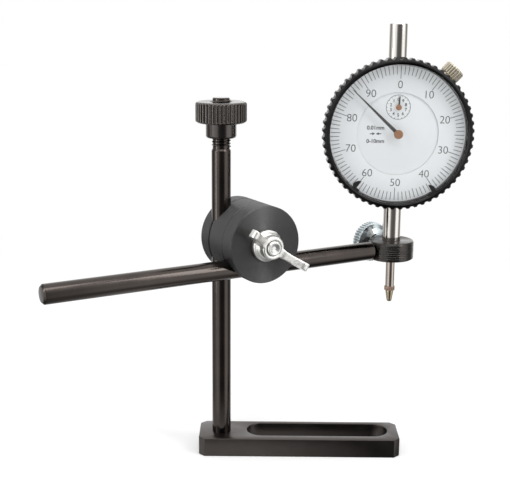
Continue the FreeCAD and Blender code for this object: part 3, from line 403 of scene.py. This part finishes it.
def peel_group():
    """The faint waviness of sprayed or dipped coats, and the pitting of castings."""
    tree, given, result = new_group(
        "coat_waves",
        (("Vector", "NodeSocketVector", None), ("Size", "NodeSocketFloat", 900.0),
         ("Depth", "NodeSocketFloat", 0.1), ("Normal", "NodeSocketVector", None)),
        (("Normal", "NodeSocketVector"), ("Value", "NodeSocketFloat")))
    noise = chain(tree, "ShaderNodeTexNoise", ("Vector", given.outputs["Vector"]),
                  ("Scale", given.outputs["Size"]), ("Detail", 2.0))
    bump = chain(tree, "ShaderNodeBump", ("Height", noise.outputs["Fac"]), ("Distance", 0.0003),
                 ("Strength", given.outputs["Depth"]), ("Normal", given.outputs["Normal"]))
    tree.links.new(bump.outputs[0], result.inputs["Normal"])
    tree.links.new(noise.outputs["Fac"], result.inputs["Value"])
    return tree


GRAIN = grain_group()
CLOUD = cloud_group()
EDGE = edge_group()
PEEL = peel_group()


# ---------------------------------------------------------------- finishes

def started(name, place=None, **constants):
    """A material with a Principled shader and object coordinates centred and turned to a placement."""
    material = bpy.data.materials.new(name)
    material.use_nodes = True
    tree = material.node_tree
    shader = tree.nodes["Principled BSDF"]
    for label, value in constants.items():
        shader.inputs[label.replace("_", " ")].default_value = value
    where = chain(tree, "ShaderNodeTexCoord").outputs["Object"]
    if place is not None:
        turn = place.to_3x3().normalized().inverted()
        centred = chain(tree, "ShaderNodeMapping", ("Vector", where), ("Location", -place.translation),
                        vector_type="POINT")
        turned = chain(tree, "ShaderNodeMapping", ("Vector", centred.outputs[0]),
                       ("Rotation", turn.to_euler()), vector_type="POINT")
        where = turned.outputs[0]
    return material, tree, shader, where


def grouped(tree, group, *feeds):
    """A shared group placed in a material."""
    return chain(tree, "ShaderNodeGroup", *feeds, node_tree=group)


def patchy(tree, shader, where, size, rough, dark, light):
    """Makes a shader's roughness and colour uneven. Returns the colour."""
    patches = grouped(tree, CLOUD, ("Vector", where), ("Size", size), ("Low", rough[0]), ("High", rough[1]))
    colour = blended(tree, patches.outputs["Mask"], dark, light)
    tree.links.new(colour, shader.inputs["Base Color"])
    tree.links.new(patches.outputs["Value"], shader.inputs["Roughness"])
    return colour


def brushed(tree, shader, place, stretch):
    """Stretches the shine across the tool marks of a face or side turned round a placement's Z."""
    where = chain(tree, "ShaderNodeTexCoord").outputs["Object"]
    outward = chain(tree, "ShaderNodeVectorMath", (0, where), (1, place.translation),
                    operation="SUBTRACT")
    across = chain(tree, "ShaderNodeVectorTransform", (0, outward.outputs[0]), vector_type="VECTOR",
                   convert_from="OBJECT", convert_to="WORLD")
    shader.inputs["Anisotropic"].default_value = stretch
    tree.links.new(across.outputs[0], shader.inputs["Tangent"])


def black_oxide(name, place=None, rings=0.0, depth=0.0, rough=(0.24, 0.36), dark=(0.042, 0.038, 0.036),
                light=(0.066, 0.061, 0.058), wear=0.4):
    """Blackened steel: near black, satin, a little brighter where corners are rubbed."""
    material, tree, shader, where = started(name, place, Metallic=1.0, Roughness=0.3)
    colour = patchy(tree, shader, where, 95.0, rough, dark, light)
    edges = grouped(tree, EDGE, ("Vector", where), ("Width", 0.00028), ("Amount", wear))
    rubbed = blended(tree, edges.outputs["Mask"], colour, (0.22, 0.21, 0.20))
    tree.links.new(rubbed, shader.inputs["Base Color"])
    normal = grouped(tree, PEEL, ("Vector", where), ("Size", 2600.0), ("Depth", 0.05)).outputs["Normal"]
    if rings:
        grain = grouped(tree, GRAIN, ("Vector", where), ("Rings", rings), ("Depth", depth),
                        ("Normal", normal))
        normal = grain.outputs["Normal"]
        brushed(tree, shader, place, 0.97)
    tree.links.new(normal, shader.inputs["Normal"])
    return material


def bright_metal(name, place, dark, light, rough, rings=6000.0, depth=0.12, size=160.0):
    """Plated or polished metal with faint turning marks and uneven shine."""
    material, tree, shader, where = started(name, place, Metallic=1.0, Roughness=0.2)
    patchy(tree, shader, where, size, rough, dark, light)
    grain = grouped(tree, GRAIN, ("Vector", where), ("Rings", rings), ("Depth", depth))
    tree.links.new(grain.outputs["Normal"], shader.inputs["Normal"])
    return material


def cast_zinc(name, cool, warm, rough):
    """Bright zinc over a casting: soft dents, a blue tinge in some places and yellow in others."""
    material, tree, shader, where = started(name, None, Metallic=1.0, Roughness=0.25)
    patchy(tree, shader, where, 210.0, rough, cool, warm)
    pits = grouped(tree, PEEL, ("Vector", where), ("Size", 750.0), ("Depth", 0.35))
    fine = grouped(tree, PEEL, ("Vector", where), ("Size", 4200.0), ("Depth", 0.12),
                   ("Normal", pits.outputs["Normal"]))
    tree.links.new(fine.outputs["Normal"], shader.inputs["Normal"])
    return material


def enamel(name, dark, light, rough, coat=0.0, size=300.0, depth=0.06):
    """Paint or enamel: an almost even colour with a little waviness."""
    material, tree, shader, where = started(name, None, Roughness=0.4, Coat_Weight=coat,
                                            Coat_Roughness=0.12)
    patchy(tree, shader, where, size, rough, dark, light)
    waves = grouped(tree, PEEL, ("Vector", where), ("Size", 1500.0), ("Depth", depth))
    tree.links.new(waves.outputs["Normal"], shader.inputs["Normal"])
    return material


def acrylic(name):
    """The clear window, which lets the lamps through to the dial."""
    material, tree, shader, where = started(name, None, Transmission_Weight=1.0, IOR=1.49,
                                            Base_Color=WHITE)
    patches = grouped(tree, CLOUD, ("Vector", where), ("Size", 40.0), ("Low", 0.005), ("High", 0.02))
    tree.links.new(patches.outputs["Value"], shader.inputs["Roughness"])
    path = chain(tree, "ShaderNodeLightPath")
    lamp_rays = worked(tree, "MAXIMUM", path.outputs["Is Shadow Ray"], path.outputs["Is Diffuse Ray"])
    clear = chain(tree, "ShaderNodeBsdfTransparent").outputs[0]
    surfaced(tree, either(tree, lamp_rays, shader.outputs[0], clear))
    return material


FINISH = {
    "black_steel": black_oxide("blackened_steel", rough=(0.28, 0.40), dark=(0.050, 0.043, 0.040),
                               light=(0.076, 0.068, 0.064)),
    "turned_black": black_oxide("turned_black_steel", CLAMP, 4200.0, 0.6, (0.40, 0.48),
                                (0.072, 0.071, 0.072), (0.110, 0.108, 0.109)),
    "rod_black": black_oxide("rod_blacking", rough=(0.12, 0.21), dark=(0.042, 0.038, 0.037),
                             light=(0.080, 0.066, 0.058)),
    "nut_black": black_oxide("nut_blacking", rough=(0.20, 0.30), dark=(0.074, 0.068, 0.064),
                             light=(0.108, 0.099, 0.092)),
    "eye_black": black_oxide("turned_eye_blacking", EYE, 2600.0, 0.45, (0.22, 0.34)),
    "bezel_black": black_oxide("bezel_blacking", DIAL, 5200.0, 0.25, (0.26, 0.38),
                               (0.022, 0.022, 0.022), (0.034, 0.033, 0.033), 0.12),
    "zinc_plate": cast_zinc("bright_zinc", (0.46, 0.54, 0.60), (0.64, 0.66, 0.64), (0.18, 0.30)),
    "cast_zinc": cast_zinc("wing_nut_zinc", (0.74, 0.74, 0.72), (0.88, 0.87, 0.83), (0.34, 0.46)),
    "bolt_zinc": bright_metal("bolt_zinc", CLAMP, (0.70, 0.70, 0.69), (0.84, 0.84, 0.81),
                              (0.36, 0.46), 3000.0, 0.3),
    "thumb_zinc": bright_metal("thumb_zinc", THUMB, (0.46, 0.54, 0.58), (0.68, 0.72, 0.72),
                               (0.16, 0.26), 3000.0, 0.2, 220.0),
    "chrome": bright_metal("polished_chrome", STEM, (0.59, 0.56, 0.525), (0.68, 0.65, 0.61),
                           (0.07, 0.13)),
    "spindle_steel": bright_metal("spindle_steel", STEM, (0.38, 0.34, 0.30), (0.47, 0.42, 0.375),
                                  (0.09, 0.16)),
    "tip_steel": bright_metal("contact_steel", STEM, (0.36, 0.30, 0.20), (0.52, 0.44, 0.31),
                              (0.20, 0.34)),
    "collar_brown": bright_metal("contact_collar", STEM, (0.30, 0.21, 0.17), (0.42, 0.30, 0.24),
                                 (0.28, 0.4)),
    "nickel": bright_metal("warm_nickel", LOCK, (0.40, 0.36, 0.28), (0.58, 0.53, 0.43), (0.20, 0.34)),
    "brass": bright_metal("brass", DIAL, (0.66, 0.47, 0.20), (0.76, 0.57, 0.28), (0.22, 0.36)),
    "copper": bright_metal("copper", DIAL, (0.29, 0.14, 0.07), (0.39, 0.20, 0.11), (0.32, 0.46)),
    "movement_steel": bright_metal("movement_steel", DIAL, (0.50, 0.50, 0.50), (0.60, 0.60, 0.60),
                                   (0.20, 0.32)),
    "case_paint": enamel("black_case_paint", (0.012, 0.012, 0.013), (0.02, 0.02, 0.021),
                         (0.22, 0.34), 0.3),
    "dial_face": enamel("dial_enamel", (0.77, 0.80, 0.82), (0.80, 0.83, 0.85), (0.38, 0.46),
                        0.0, 120.0, 0.02),
    "hand_black": enamel("hand_lacquer", (0.012, 0.012, 0.013), (0.022, 0.022, 0.024), (0.25, 0.35)),
    "marker_black": enamel("marker_lacquer", (0.010, 0.010, 0.011), (0.02, 0.02, 0.02), (0.3, 0.42)),
    "print_grey": enamel("dial_print", (0.040, 0.042, 0.046), (0.055, 0.057, 0.06), (0.5, 0.6)),
    "clear_acrylic": acrylic("clear_acrylic"),
}
# Nodes whose finish differs from their slot's.
NODE_FINISH = {"rear_clamp_disc": "turned_black", "middle_clamp_disc": "turned_black",
               "front_clamp_disc": "turned_black", "spindle": "spindle_steel"}


# ---------------------------------------------------------------- stage

# How bright the studio is for shiny metal at each bearing: 0 is the viewer's side, right is positive.
STUDIO_PANELS = ((-180, 1.5), (-150, 1.3), (-116, 0.30), (-98, 0.35), (-84, 1.25), (-72, 0.55),
                 (-62, 1.5), (-30, 1.2), (-16, 0.20), (6, 0.12), (36, 0.15), (50, 1.5), (78, 1.5),
                 (94, 0.35), (114, 0.25), (150, 1.3), (180, 1.5))


def camera():
    """The main view: a long lens, a little above and left of the gauge, looking down."""
    lens = bpy.data.cameras.new("camera")
    lens.sensor_width = 36
    lens.lens = 73.86
    lens.clip_start = 0.01
    place, aside, down, tilt = (0.017288, -0.425701, 0.189646), 0.436, 12.875, 0.332
    eye = linked("camera", lens)
    eye.matrix_world = (Matrix.Translation(place) @ Matrix.Rotation(radians(aside), 4, "Z")
                        @ Matrix.Rotation(radians(90 - down), 4, "X")
                        @ Matrix.Rotation(radians(tilt), 4, "Z"))
    bpy.context.scene.camera = eye


def softbox(name, place, target, width, height, power):
    """A white rectangular lamp that faces a point."""
    lamp = bpy.data.lights.new(name, "AREA")
    lamp.shape = "RECTANGLE"
    lamp.size = width
    lamp.size_y = height
    lamp.energy = power
    facing = (Vector(place) - Vector(target)).to_track_quat("Z", "Y").to_matrix().to_4x4()
    linked(name, lamp).matrix_world = Matrix.Translation(place) @ facing


def surroundings():
    """A white studio with darker gaps between its soft panels, which shiny metal shows."""
    world = bpy.data.worlds.new("studio")
    world.use_nodes = True
    bpy.context.scene.world = world
    tree = world.node_tree
    plain = tree.nodes["Background"]
    plain.inputs["Color"].default_value = WHITE
    plain.inputs["Strength"].default_value = 0.62
    direction = chain(tree, "ShaderNodeTexCoord").outputs["Generated"]
    apart = chain(tree, "ShaderNodeSeparateXYZ", (0, direction))
    rise = apart.outputs[2]
    bearing = worked(tree, "ARCTAN2", apart.outputs[0], worked(tree, "MULTIPLY", apart.outputs[1], -1.0))
    panels = chain(tree, "ShaderNodeValToRGB", (0, ranged(tree, bearing, -pi, pi)))
    ramp = panels.color_ramp
    for degrees, value in STUDIO_PANELS[1:-1]:
        ramp.elements.new((degrees + 180) / 360)
    for element, (degrees, value) in zip(ramp.elements, STUDIO_PANELS):
        element.position = (degrees + 180) / 360
        element.color = (value, value, value, 1)
    seen = blended(tree, ranged(tree, rise, 0.45, 0.8), panels.outputs[0], (1.5, 1.5, 1.5))
    mirrored = glow(tree, "ShaderNodeBackground", ranged(tree, rise, -0.75, -0.35, 0.3), seen)
    backdrop = glow(tree, "ShaderNodeBackground", 1.0)
    path = chain(tree, "ShaderNodeLightPath")
    shiny = either(tree, path.outputs["Is Glossy Ray"], plain.outputs[0], mirrored)
    surfaced(tree, either(tree, direct_rays(tree, path), shiny, backdrop), "World Output")


def floor():
    """A pale floor that keeps the shadow and runs out to white, or to the studio for mirrored rays."""
    bm = bmesh.new()
    bmesh.ops.create_circle(bm, cap_ends=True, segments=64, radius=6.0)
    mesh = mesh_of("floor", bm)
    ground = linked("floor", mesh)
    material, tree, shader, where = started("pale_floor", Base_Color=(0.86, 0.86, 0.86, 1),
                                            Roughness=0.8, Specular_IOR_Level=0.2)
    path = chain(tree, "ShaderNodeLightPath")
    mirrored = path.outputs["Is Glossy Ray"]
    seen = worked(tree, "MAXIMUM", direct_rays(tree, path), mirrored)
    lift = glow(tree, "ShaderNodeEmission", 0.28)
    lifted = chain(tree, "ShaderNodeAddShader", (0, shader.outputs[0]), (1, lift)).outputs[0]
    open_air = chain(tree, "ShaderNodeBsdfTransparent").outputs[0]
    beyond = either(tree, mirrored, glow(tree, "ShaderNodeEmission", 1.0), open_air)
    distance = chain(tree, "ShaderNodeVectorMath", (0, where), operation="LENGTH")
    near = ranged(tree, mirrored, 0.0, 1.0, 0.20, 0.02)
    far = ranged(tree, mirrored, 0.0, 1.0, 0.45, 0.07)
    faded = either(tree, ranged(tree, distance.outputs["Value"], near, far), lifted, beyond)
    surfaced(tree, either(tree, seen, shader.outputs[0], faded))
    mesh.materials.append(material)


# ---------------------------------------------------------------- base, post and nut

def stadium(left, right, middle, radius, steps=24):
    """A round-ended slot outline along X."""
    turns = [(across, radians(start + 180 * step / steps))
             for across, start in ((right, -90), (left, 90)) for step in range(steps + 1)]
    return [(across + radius * cos(angle), middle + radius * sin(angle)) for across, angle in turns]


def base_bar():
    """The bar with its slot, cut corners and slightly rounded edges."""
    low, high = reach("base_bar", UPRIGHT)
    slot_start, end_wall, slot_radius, slot_middle = 11.0, 4.5, 6.7, 1.0
    corner, edge = 2.4, 0.35
    slot = stadium(slot_start + slot_radius, high.x - end_wall - slot_radius, slot_middle, slot_radius)
    rim = [(low.x + corner, low.y), (high.x - corner, low.y), (high.x, low.y + corner),
           (high.x, high.y - corner), (high.x - corner, high.y), (low.x + corner, high.y),
           (low.x, high.y - corner), (low.x, low.y + corner)]
    bar = softened(slab([rim, slot], low.z, high.z), edge)
    piece("base_bar_body", bar, UPRIGHT, "black_steel", "base", "base_bar")


def post():
    """The post, with a real thread on its slimmer end."""
    low, high = reach("post", UPRIGHT)
    shoulder, relief, core, crest, ridge_depth, pitch = 130.4, 0.7, 3.55, 3.95, 0.5, 1.25
    rod = lathe(((0, low.z), (ROD_RADIUS, low.z), (ROD_RADIUS, shoulder, 0.3), (core, shoulder + relief),
                 (core, high.z - 0.4), (core - 0.4, high.z), (0, high.z)))
    ridge = thread(crest, ridge_depth, pitch, shoulder + 1.6, high.z - 0.7)
    piece("post_rod", merged(rod, ridge), UPRIGHT, "rod_black", "post", "post")


def post_nut():
    """The knurled nut and its collar."""
    low, high = reach("post_nut", UPRIGHT)
    radius, collar, bore, collar_top = high.x, 6.3, 4.05, low.z + 6.2
    flutes, cutter, cut_depth = 43, 0.8, 0.55
    profile = ((bore, low.z), (collar, low.z, 1.0), (collar, collar_top - 0.3, 0.2),
               (radius - 1.0, collar_top, 0.3), (radius, collar_top + 0.7, 0.7),
               (radius, high.z - 0.7, 0.8), (radius - 0.9, high.z, 0.6), (bore + 0.7, high.z, 0.2),
               (bore, high.z - 0.7))
    head = fluted(lathe(profile, 12 * flutes, 3, True), radius, flutes, cutter, cut_depth)
    piece("post_nut_body", head, UPRIGHT, "nut_black", "post_nut", "post_nut")


# ---------------------------------------------------------------- dial

def ticks(count, inner, outer, width, keep=lambda step: True):
    """Printed graduation lines between two radii."""
    place = Matrix.Translation((0, (inner + outer) / 2, 0))
    shape = Matrix.Diagonal((width, outer - inner, PRINT_THICK, 1))
    lines = []
    for step in filter(keep, range(count)):
        line = bmesh.new()
        bmesh.ops.create_cube(line, size=1)
        moved(line, place @ shape)
        lines.append(moved(line, turned_by(360 * step / count)))
    return merged(*lines)


def digits_round(words, height, stroke, radius, turn):
    """Upright numbers set round a circle, each turned on by the same angle from the last."""
    angles = [radians(turn * step) for step in range(len(words))]
    return [moved(lettered(word, height, stroke),
                  Matrix.Translation((radius * sin(angle), radius * cos(angle), 0)))
            for word, angle in zip(words, angles)]


def scale_ring():
    """The outer dial, with a hundred divisions and numbers by tens."""
    low, high = reach("scale_ring", DIAL)
    inner, outer, edge = 17.6, high.x, 0.06
    ring = lathe(((inner, low.z), (outer, low.z), (outer, high.z), (inner + edge, high.z, edge / 2),
                  (inner, high.z - edge)), 128, 3, True)
    piece("scale_ring_disc", ring, DIAL, "dial_face", "bezel", "scale_ring")
    tick_end, set_round = 28.6, 1.2
    marks = merged(ticks(100, 25.1, tick_end, 0.25, lambda step: step % 5),
                   ticks(20, 24.5, tick_end, 0.26, lambda step: step % 2),
                   ticks(10, 23.2, tick_end, 0.27))
    numbers = digits_round([str(10 * step) for step in range(10)], 3.2, -0.008, 20.9, 36)
    printed = moved(merged(marks, *numbers), Matrix.Translation((0, 0, high.z)) @ turned_by(set_round))
    piece("scale_ring_print", printed, DIAL, "print_grey", "bezel")


def direction_arrow(side):
    """Half of the small double arrow: a shaft whose head points to the middle."""
    tip, head_end, end, half_head, half_shaft = 0.2, 1.4, 2.4, 0.65, 0.2
    outline = [(tip, 0), (head_end, half_head), (head_end, half_shaft), (end, half_shaft),
               (end, -half_shaft), (head_end, -half_shaft), (head_end, -half_head)]
    return moved(slab([outline], -PRINT_THICK / 2, PRINT_THICK / 2), Matrix.Diagonal((side, 1, 1, 1)))


def dial_centre():
    """The inner dial, with the turn counter's circle, the lettering and a double arrow."""
    low, high = reach("dial_centre", DIAL)
    radius, under = 17.57, low.z + 0.05
    disc = lathe(((0, under), (radius, under), (radius, high.z, 0.05), (0, high.z)), 128)
    piece("dial_centre_disc", disc, DIAL, "dial_face", "gauge", "dial_centre")
    half, inner, outer = PRINT_THICK / 2, 5.05, 5.25
    circle = lathe(((inner, -half), (outer, -half), (outer, half), (inner, half)), 64, 1, True)
    counter = merged(circle, ticks(20, 4.5, 5.2, 0.16),
                     *digits_round([str(step) for step in range(10)], 1.4, 0.03, 3.35, -36))
    aside, height, stroke = -9.4, 1.75, 0.03
    division = moved(lettered("0.01mm", height, stroke), Matrix.Translation((aside, 2.6, 0)))
    travel = moved(lettered("0-10mm", height, stroke), Matrix.Translation((aside, -3.1, 0)))
    arrows = moved(merged(direction_arrow(-1), direction_arrow(1)), Matrix.Translation((aside, 0, 0)))
    printed = moved(merged(moved(counter, COUNTER), division, travel, arrows),
                    Matrix.Translation((0, 0, high.z)))
    piece("dial_centre_print", printed, DIAL, "print_grey", "gauge")


def bezel():
    """The rim with its scallops."""
    low, high = reach("bezel", DIAL)
    radius, bore = 32.5, 29.6
    scallops, cutter, cut_depth = 60, 1.2, 0.75
    profile = ((bore, low.z), (radius - 0.6, low.z, 0.2), (radius, low.z + 0.6, 0.2),
               (radius, high.z - 1.5, 0.5), (radius - 1.2, high.z - 0.3, 0.3), (bore + 0.9, high.z, 0.3),
               (bore, high.z - 0.7, 0.2))
    rim = fluted(lathe(profile, 12 * scallops, 3, True), radius, scallops, cutter, cut_depth)
    piece("bezel_rim", rim, DIAL, "bezel_black", "bezel", "bezel")


def crystal():
    """The clear window."""
    low, high = reach("crystal", DIAL)
    window = lathe(((0, low.z), (high.x, low.z), (high.x, high.z, 0.3), (0, high.z)), 128)
    piece("crystal_window", window, DIAL, "clear_acrylic", "bezel", "crystal")


# ---------------------------------------------------------------- hands

def main_hand():
    """The long hand and the button on its hub."""
    low, high = reach("main_hand", DIAL)
    tip, half_tip, half_root, tail, half_tail, aim = 27.1, 0.15, 0.8, 1.7, 0.62, -46.5
    outline = [(-half_tip, tip), (-half_root, 1.2), (-half_tail, -tail), (half_tail, -tail),
               (half_root, 1.2), (half_tip, tip)]
    blade = softened(slab([outline], low.z, high.z), 0.05, 2)
    piece("main_hand_blade", blade, DIAL @ turned_by(aim), "hand_black", "centre_wheel", "main_hand")
    low, high = reach("main_hand_hub", DIAL)
    neck, radius, under = 0.8, 1.95, high.z - 0.6
    hub = lathe(((0, low.z), (neck, low.z), (neck, under), (radius, under, 0.1), (radius, high.z, 0.2),
                 (0.5, high.z, 0.1), (0.4, high.z - 0.08), (0, high.z - 0.08)), 64, 3)
    piece("main_hand_boss", hub, DIAL, "copper", "centre_wheel", "main_hand_hub")


def counter_hand():
    """The hand that counts turns, and its button."""
    low, high = reach("counter_hand", DIAL)
    tip, half_tip, half_root, aim = 4.8, 0.2, 0.45, 5
    outline = [(-half_tip, tip), (-half_root, 0), (half_root, 0), (half_tip, tip)]
    blade = softened(slab([outline], high.z - 0.8, high.z - 0.6), 0.03, 2)
    piece("counter_hand_blade", blade, DIAL @ COUNTER @ turned_by(aim), "hand_black", "counter_wheel",
          "counter_hand")
    radius = 1.2
    button = lathe(((0, low.z), (radius, low.z), (radius, high.z, 0.2), (0, high.z)), 48, 3)
    piece("counter_hand_boss", button, DIAL @ COUNTER, "copper", "counter_wheel")


# ---------------------------------------------------------------- clamp, arm and screws

def clamp_bolt():
    """The clamp's bolt, with a dimpled end at the front and a hexagon head at the back."""
    low, high = reach("clamp_bolt", CLAMP)
    radius, head_height, dimple = 3.0, 4.0, 0.8
    start = low.z + head_height - 0.5
    shank = lathe(((0, start), (radius, start), (radius, high.z - 0.5, 0.2), (radius - 0.4, high.z, 0.3),
                   (2.1, high.z, 0.6), (0.9, high.z - dimple, 0.8), (0, high.z - dimple)), 64)
    head = bmesh.new()
    bmesh.ops.create_cone(head, cap_ends=True, segments=6, radius1=high.x, radius2=high.x,
                          depth=head_height)
    moved(head, Matrix.Translation((0, 0, low.z + head_height / 2)) @ Matrix.Rotation(pi / 2, 4, "Z"))
    piece("clamp_bolt_body", merged(shank, softened(head, 0.3)), CLAMP, "bolt_zinc", "clamp", "clamp_bolt")


def wing_ear(side):
    """One ear, thicker at its root and a little at its tip."""
    ear = plate(((12.4, 6.4, 4.0), (5.6, 1.8, 0.5), (3.6, 2.4), (3.6, 6.8), (5.6, 7.2, 2.0),
                 (12.4, 13.2, 1.8), (15.0, 13.6, 1.2), (15.4, 10.4, 1.5)), 2.9)
    bmesh.ops.subdivide_edges(ear, edges=ear.edges[:], cuts=2)
    for vertex in ear.verts:
        root = max(0.0, min(1.0, (9.0 - vertex.co.x) / 5.0))
        tip = max(0.0, min(1.0, (vertex.co.x - 11.0) / 4.4))
        vertex.co.y *= 1 + 0.45 * root ** 2 + 0.16 * tip
    return moved(ear, Matrix.Diagonal((side, side, 1, 1)))


def wing_nut():
    """The cast wing nut."""
    low = reach("wing_nut", CLAMP)[0]
    bore, foot, barrel, top, tilt = 3.15, 6.6, 4.9, 6.9, 34
    core = lathe(((bore, 0), (foot, 0, 0.4), (foot, 2.0, 0.5), (5.7, 2.6, 0.3), (5.5, 3.4, 0.4),
                  (barrel, 3.9, 0.5), (barrel, top, 0.7), (bore + 0.35, top, 0.2), (bore, top - 0.3)),
                 96, 3, True)
    body = cast(merged(core, wing_ear(1), wing_ear(-1)), 0.26, 9)
    piece("wing_nut_casting", body, CLAMP @ Matrix.Translation((0, 0, low.z)) @ turned_by(tilt),
          "cast_zinc", "wing_nut", "wing_nut")


def arm_rod():
    """The arm, up to the ring that holds the stem."""
    low = reach("arm_rod", ARM)[0]
    arm_offset, root = 12, 68.9
    rod = lathe(((0, low.z), (ROD_RADIUS - 0.8, low.z, 0.2), (ROD_RADIUS, low.z + 0.8, 0.3),
                 (ROD_RADIUS, root - 1.2, 0.3), (ROD_RADIUS - 1.1, root, 0.2), (0, root)), 96)
    piece("arm_bar", rod, ARM @ Matrix.Translation((-arm_offset, 0, 0)), "rod_black", "arm", "arm_rod")


def arm_eye():
    """The ring that holds the stem, with the tool lines on its side."""
    low, high = reach("arm_eye", EYE)
    bottom, top, radius, bore = low.z - 0.7, high.z, 10.0, 4.06
    tool_lines, margin, line_depth = 7, 0.7, 0.12
    pitch = (top - bottom - 2 * margin) / tool_lines
    side = []
    for line in range(tool_lines):
        start = bottom + margin + line * pitch
        side += [(radius, start), (radius, start + pitch * 0.7),
                 (radius - line_depth, start + pitch * 0.85)]
    ring = lathe([(bore, bottom, 0.2), (radius - 0.6, bottom, 0.2), (radius, bottom + 0.5)] + side
                 + [(radius, top - 0.6, 0.2), (radius - 0.5, top, 0.2), (bore, top, 0.2)], 128, 3, True)
    piece("arm_eye_ring", ring, EYE, "eye_black", "arm", "arm_eye")


def thumb_screw():
    """The screw that grips the stem, with a domed neck and a knurled rim."""
    high = reach("thumb_screw", THUMB)[1]
    shank, neck, radius, start, near = 2.5, 3.9, 8.92, 10.1, high.z - 4.2
    flutes, cutter, cut_depth = 42, 0.52, 0.45
    screw = lathe(((0, start), (shank, start), (shank, near - 2.9), (neck, near - 2.9, 0.3),
                   (4.4, near - 2.3, 0.6), (6.6, near - 1.6, 1.5), (8.3, near - 0.6, 0.8),
                   (radius, near + 0.3, 0.3), (radius, high.z - 0.6, 0.3), (8.1, high.z, 0.3),
                   (6.0, high.z, 0.4), (5.4, high.z - 0.5, 0.3), (0, high.z - 0.5)), 576, 3)
    fluted(screw, radius, flutes, cutter, cut_depth)
    piece("thumb_screw_body", screw, THUMB, "thumb_zinc", "thumb_screw", "thumb_screw")


# ---------------------------------------------------------------- stem, spindle and lock

def stem():
    """The tube under the case."""
    low, high = reach("stem", STEM)
    tube = lathe(((TUBE_BORE, low.z), (ROD_RADIUS, low.z, 0.4), (ROD_RADIUS, high.z, 0.3),
                  (TUBE_BORE, high.z)), 128, 4, True)
    piece("stem_tube", tube, STEM, "chrome", "gauge", "stem")


def spindle_cap():
    """The tube over the spindle's upper end."""
    low, high = reach("spindle_cap", STEM)
    roof = high.z - 1.2
    cap = lathe(((TUBE_BORE, low.z), (ROD_RADIUS, low.z), (ROD_RADIUS, high.z, 0.5), (0, high.z),
                 (0, roof), (TUBE_BORE, roof)), 128, 4, True)
    piece("spindle_cap_tube", cap, STEM, "chrome", "gauge", "spindle_cap")


def contact_point():
    """The contact point and its knurled collar."""
    low, high = reach("contact_point", STEM)
    shoulder = low.z + 5.2
    top = shoulder + 1.9
    spigot, radius, flutes, cutter, cut_depth = 1.2, 2.35, 24, 0.2, 0.12
    collar = lathe(((spigot, shoulder), (radius, shoulder, 0.25), (radius, top, 0.25), (spigot, top)),
                   12 * flutes, 3, True)
    fluted(collar, radius, flutes, cutter, cut_depth)
    piece("contact_collar", collar, STEM, "collar_brown", "spindle")
    tip = lathe(((0, low.z), (1.0, low.z, 0.4), (1.22, low.z + 0.9, 0.3), (1.8, shoulder - 0.6, 0.2),
                 (1.75, shoulder, 0.1), (spigot, shoulder), (spigot, high.z), (0, high.z)), 64)
    piece("contact_tip", tip, STEM, "tip_steel", "spindle", "contact_point")


def bezel_lock():
    """The screw that locks the bezel."""
    low, high = reach("bezel_clamp_screw", LOCK)
    shank, radius, near = 1.5, 4.6, high.z - 4.8
    flutes, cutter, cut_depth = 24, 0.55, 0.38
    screw = lathe(((0, low.z), (shank, low.z), (shank, near), (3.9, near, 0.2), (radius, near + 0.6, 0.2),
                   (radius, high.z - 0.6, 0.2), (4.0, high.z, 0.2), (2.6, high.z, 0.3),
                   (2.2, high.z - 0.3, 0.2), (0, high.z - 0.3)), 12 * flutes, 3)
    fluted(screw, radius, flutes, cutter, cut_depth)
    piece("bezel_lock_screw", screw, LOCK, "nickel", "bezel_clamp_screw", "bezel_clamp_screw")


def dress_rest():
    """Gives every CAD node that still shows the finish of its slot."""
    for subpart in frame["record"]["subparts"]:
        name = subpart["node"]
        data = NODES[name].data
        data.materials.clear()
        data.materials.append(FINISH[NODE_FINISH.get(name, subpart["material_slot"])])


camera()
surroundings()
softbox("left_lamp", (-0.58, -0.30, 0.30), (0.03, 0, 0.10), width=0.15, height=0.80, power=1.5)
softbox("right_lamp", (0.56, -0.32, 0.52), (0.03, 0, 0.10), width=0.20, height=0.55, power=1.6)
softbox("top_lamp", (0.06, -0.26, 0.80), (0.03, 0, 0.05), width=0.45, height=0.28, power=1.4)
floor()
dress_rest()
for make in (base_bar, post, post_nut, scale_ring, dial_centre, bezel, crystal, main_hand, counter_hand,
             clamp_bolt, wing_nut, arm_rod, arm_eye, thumb_screw, stem, spindle_cap, contact_point,
             bezel_lock):
    make()

bpy.context.scene.view_settings.view_transform = "Standard"
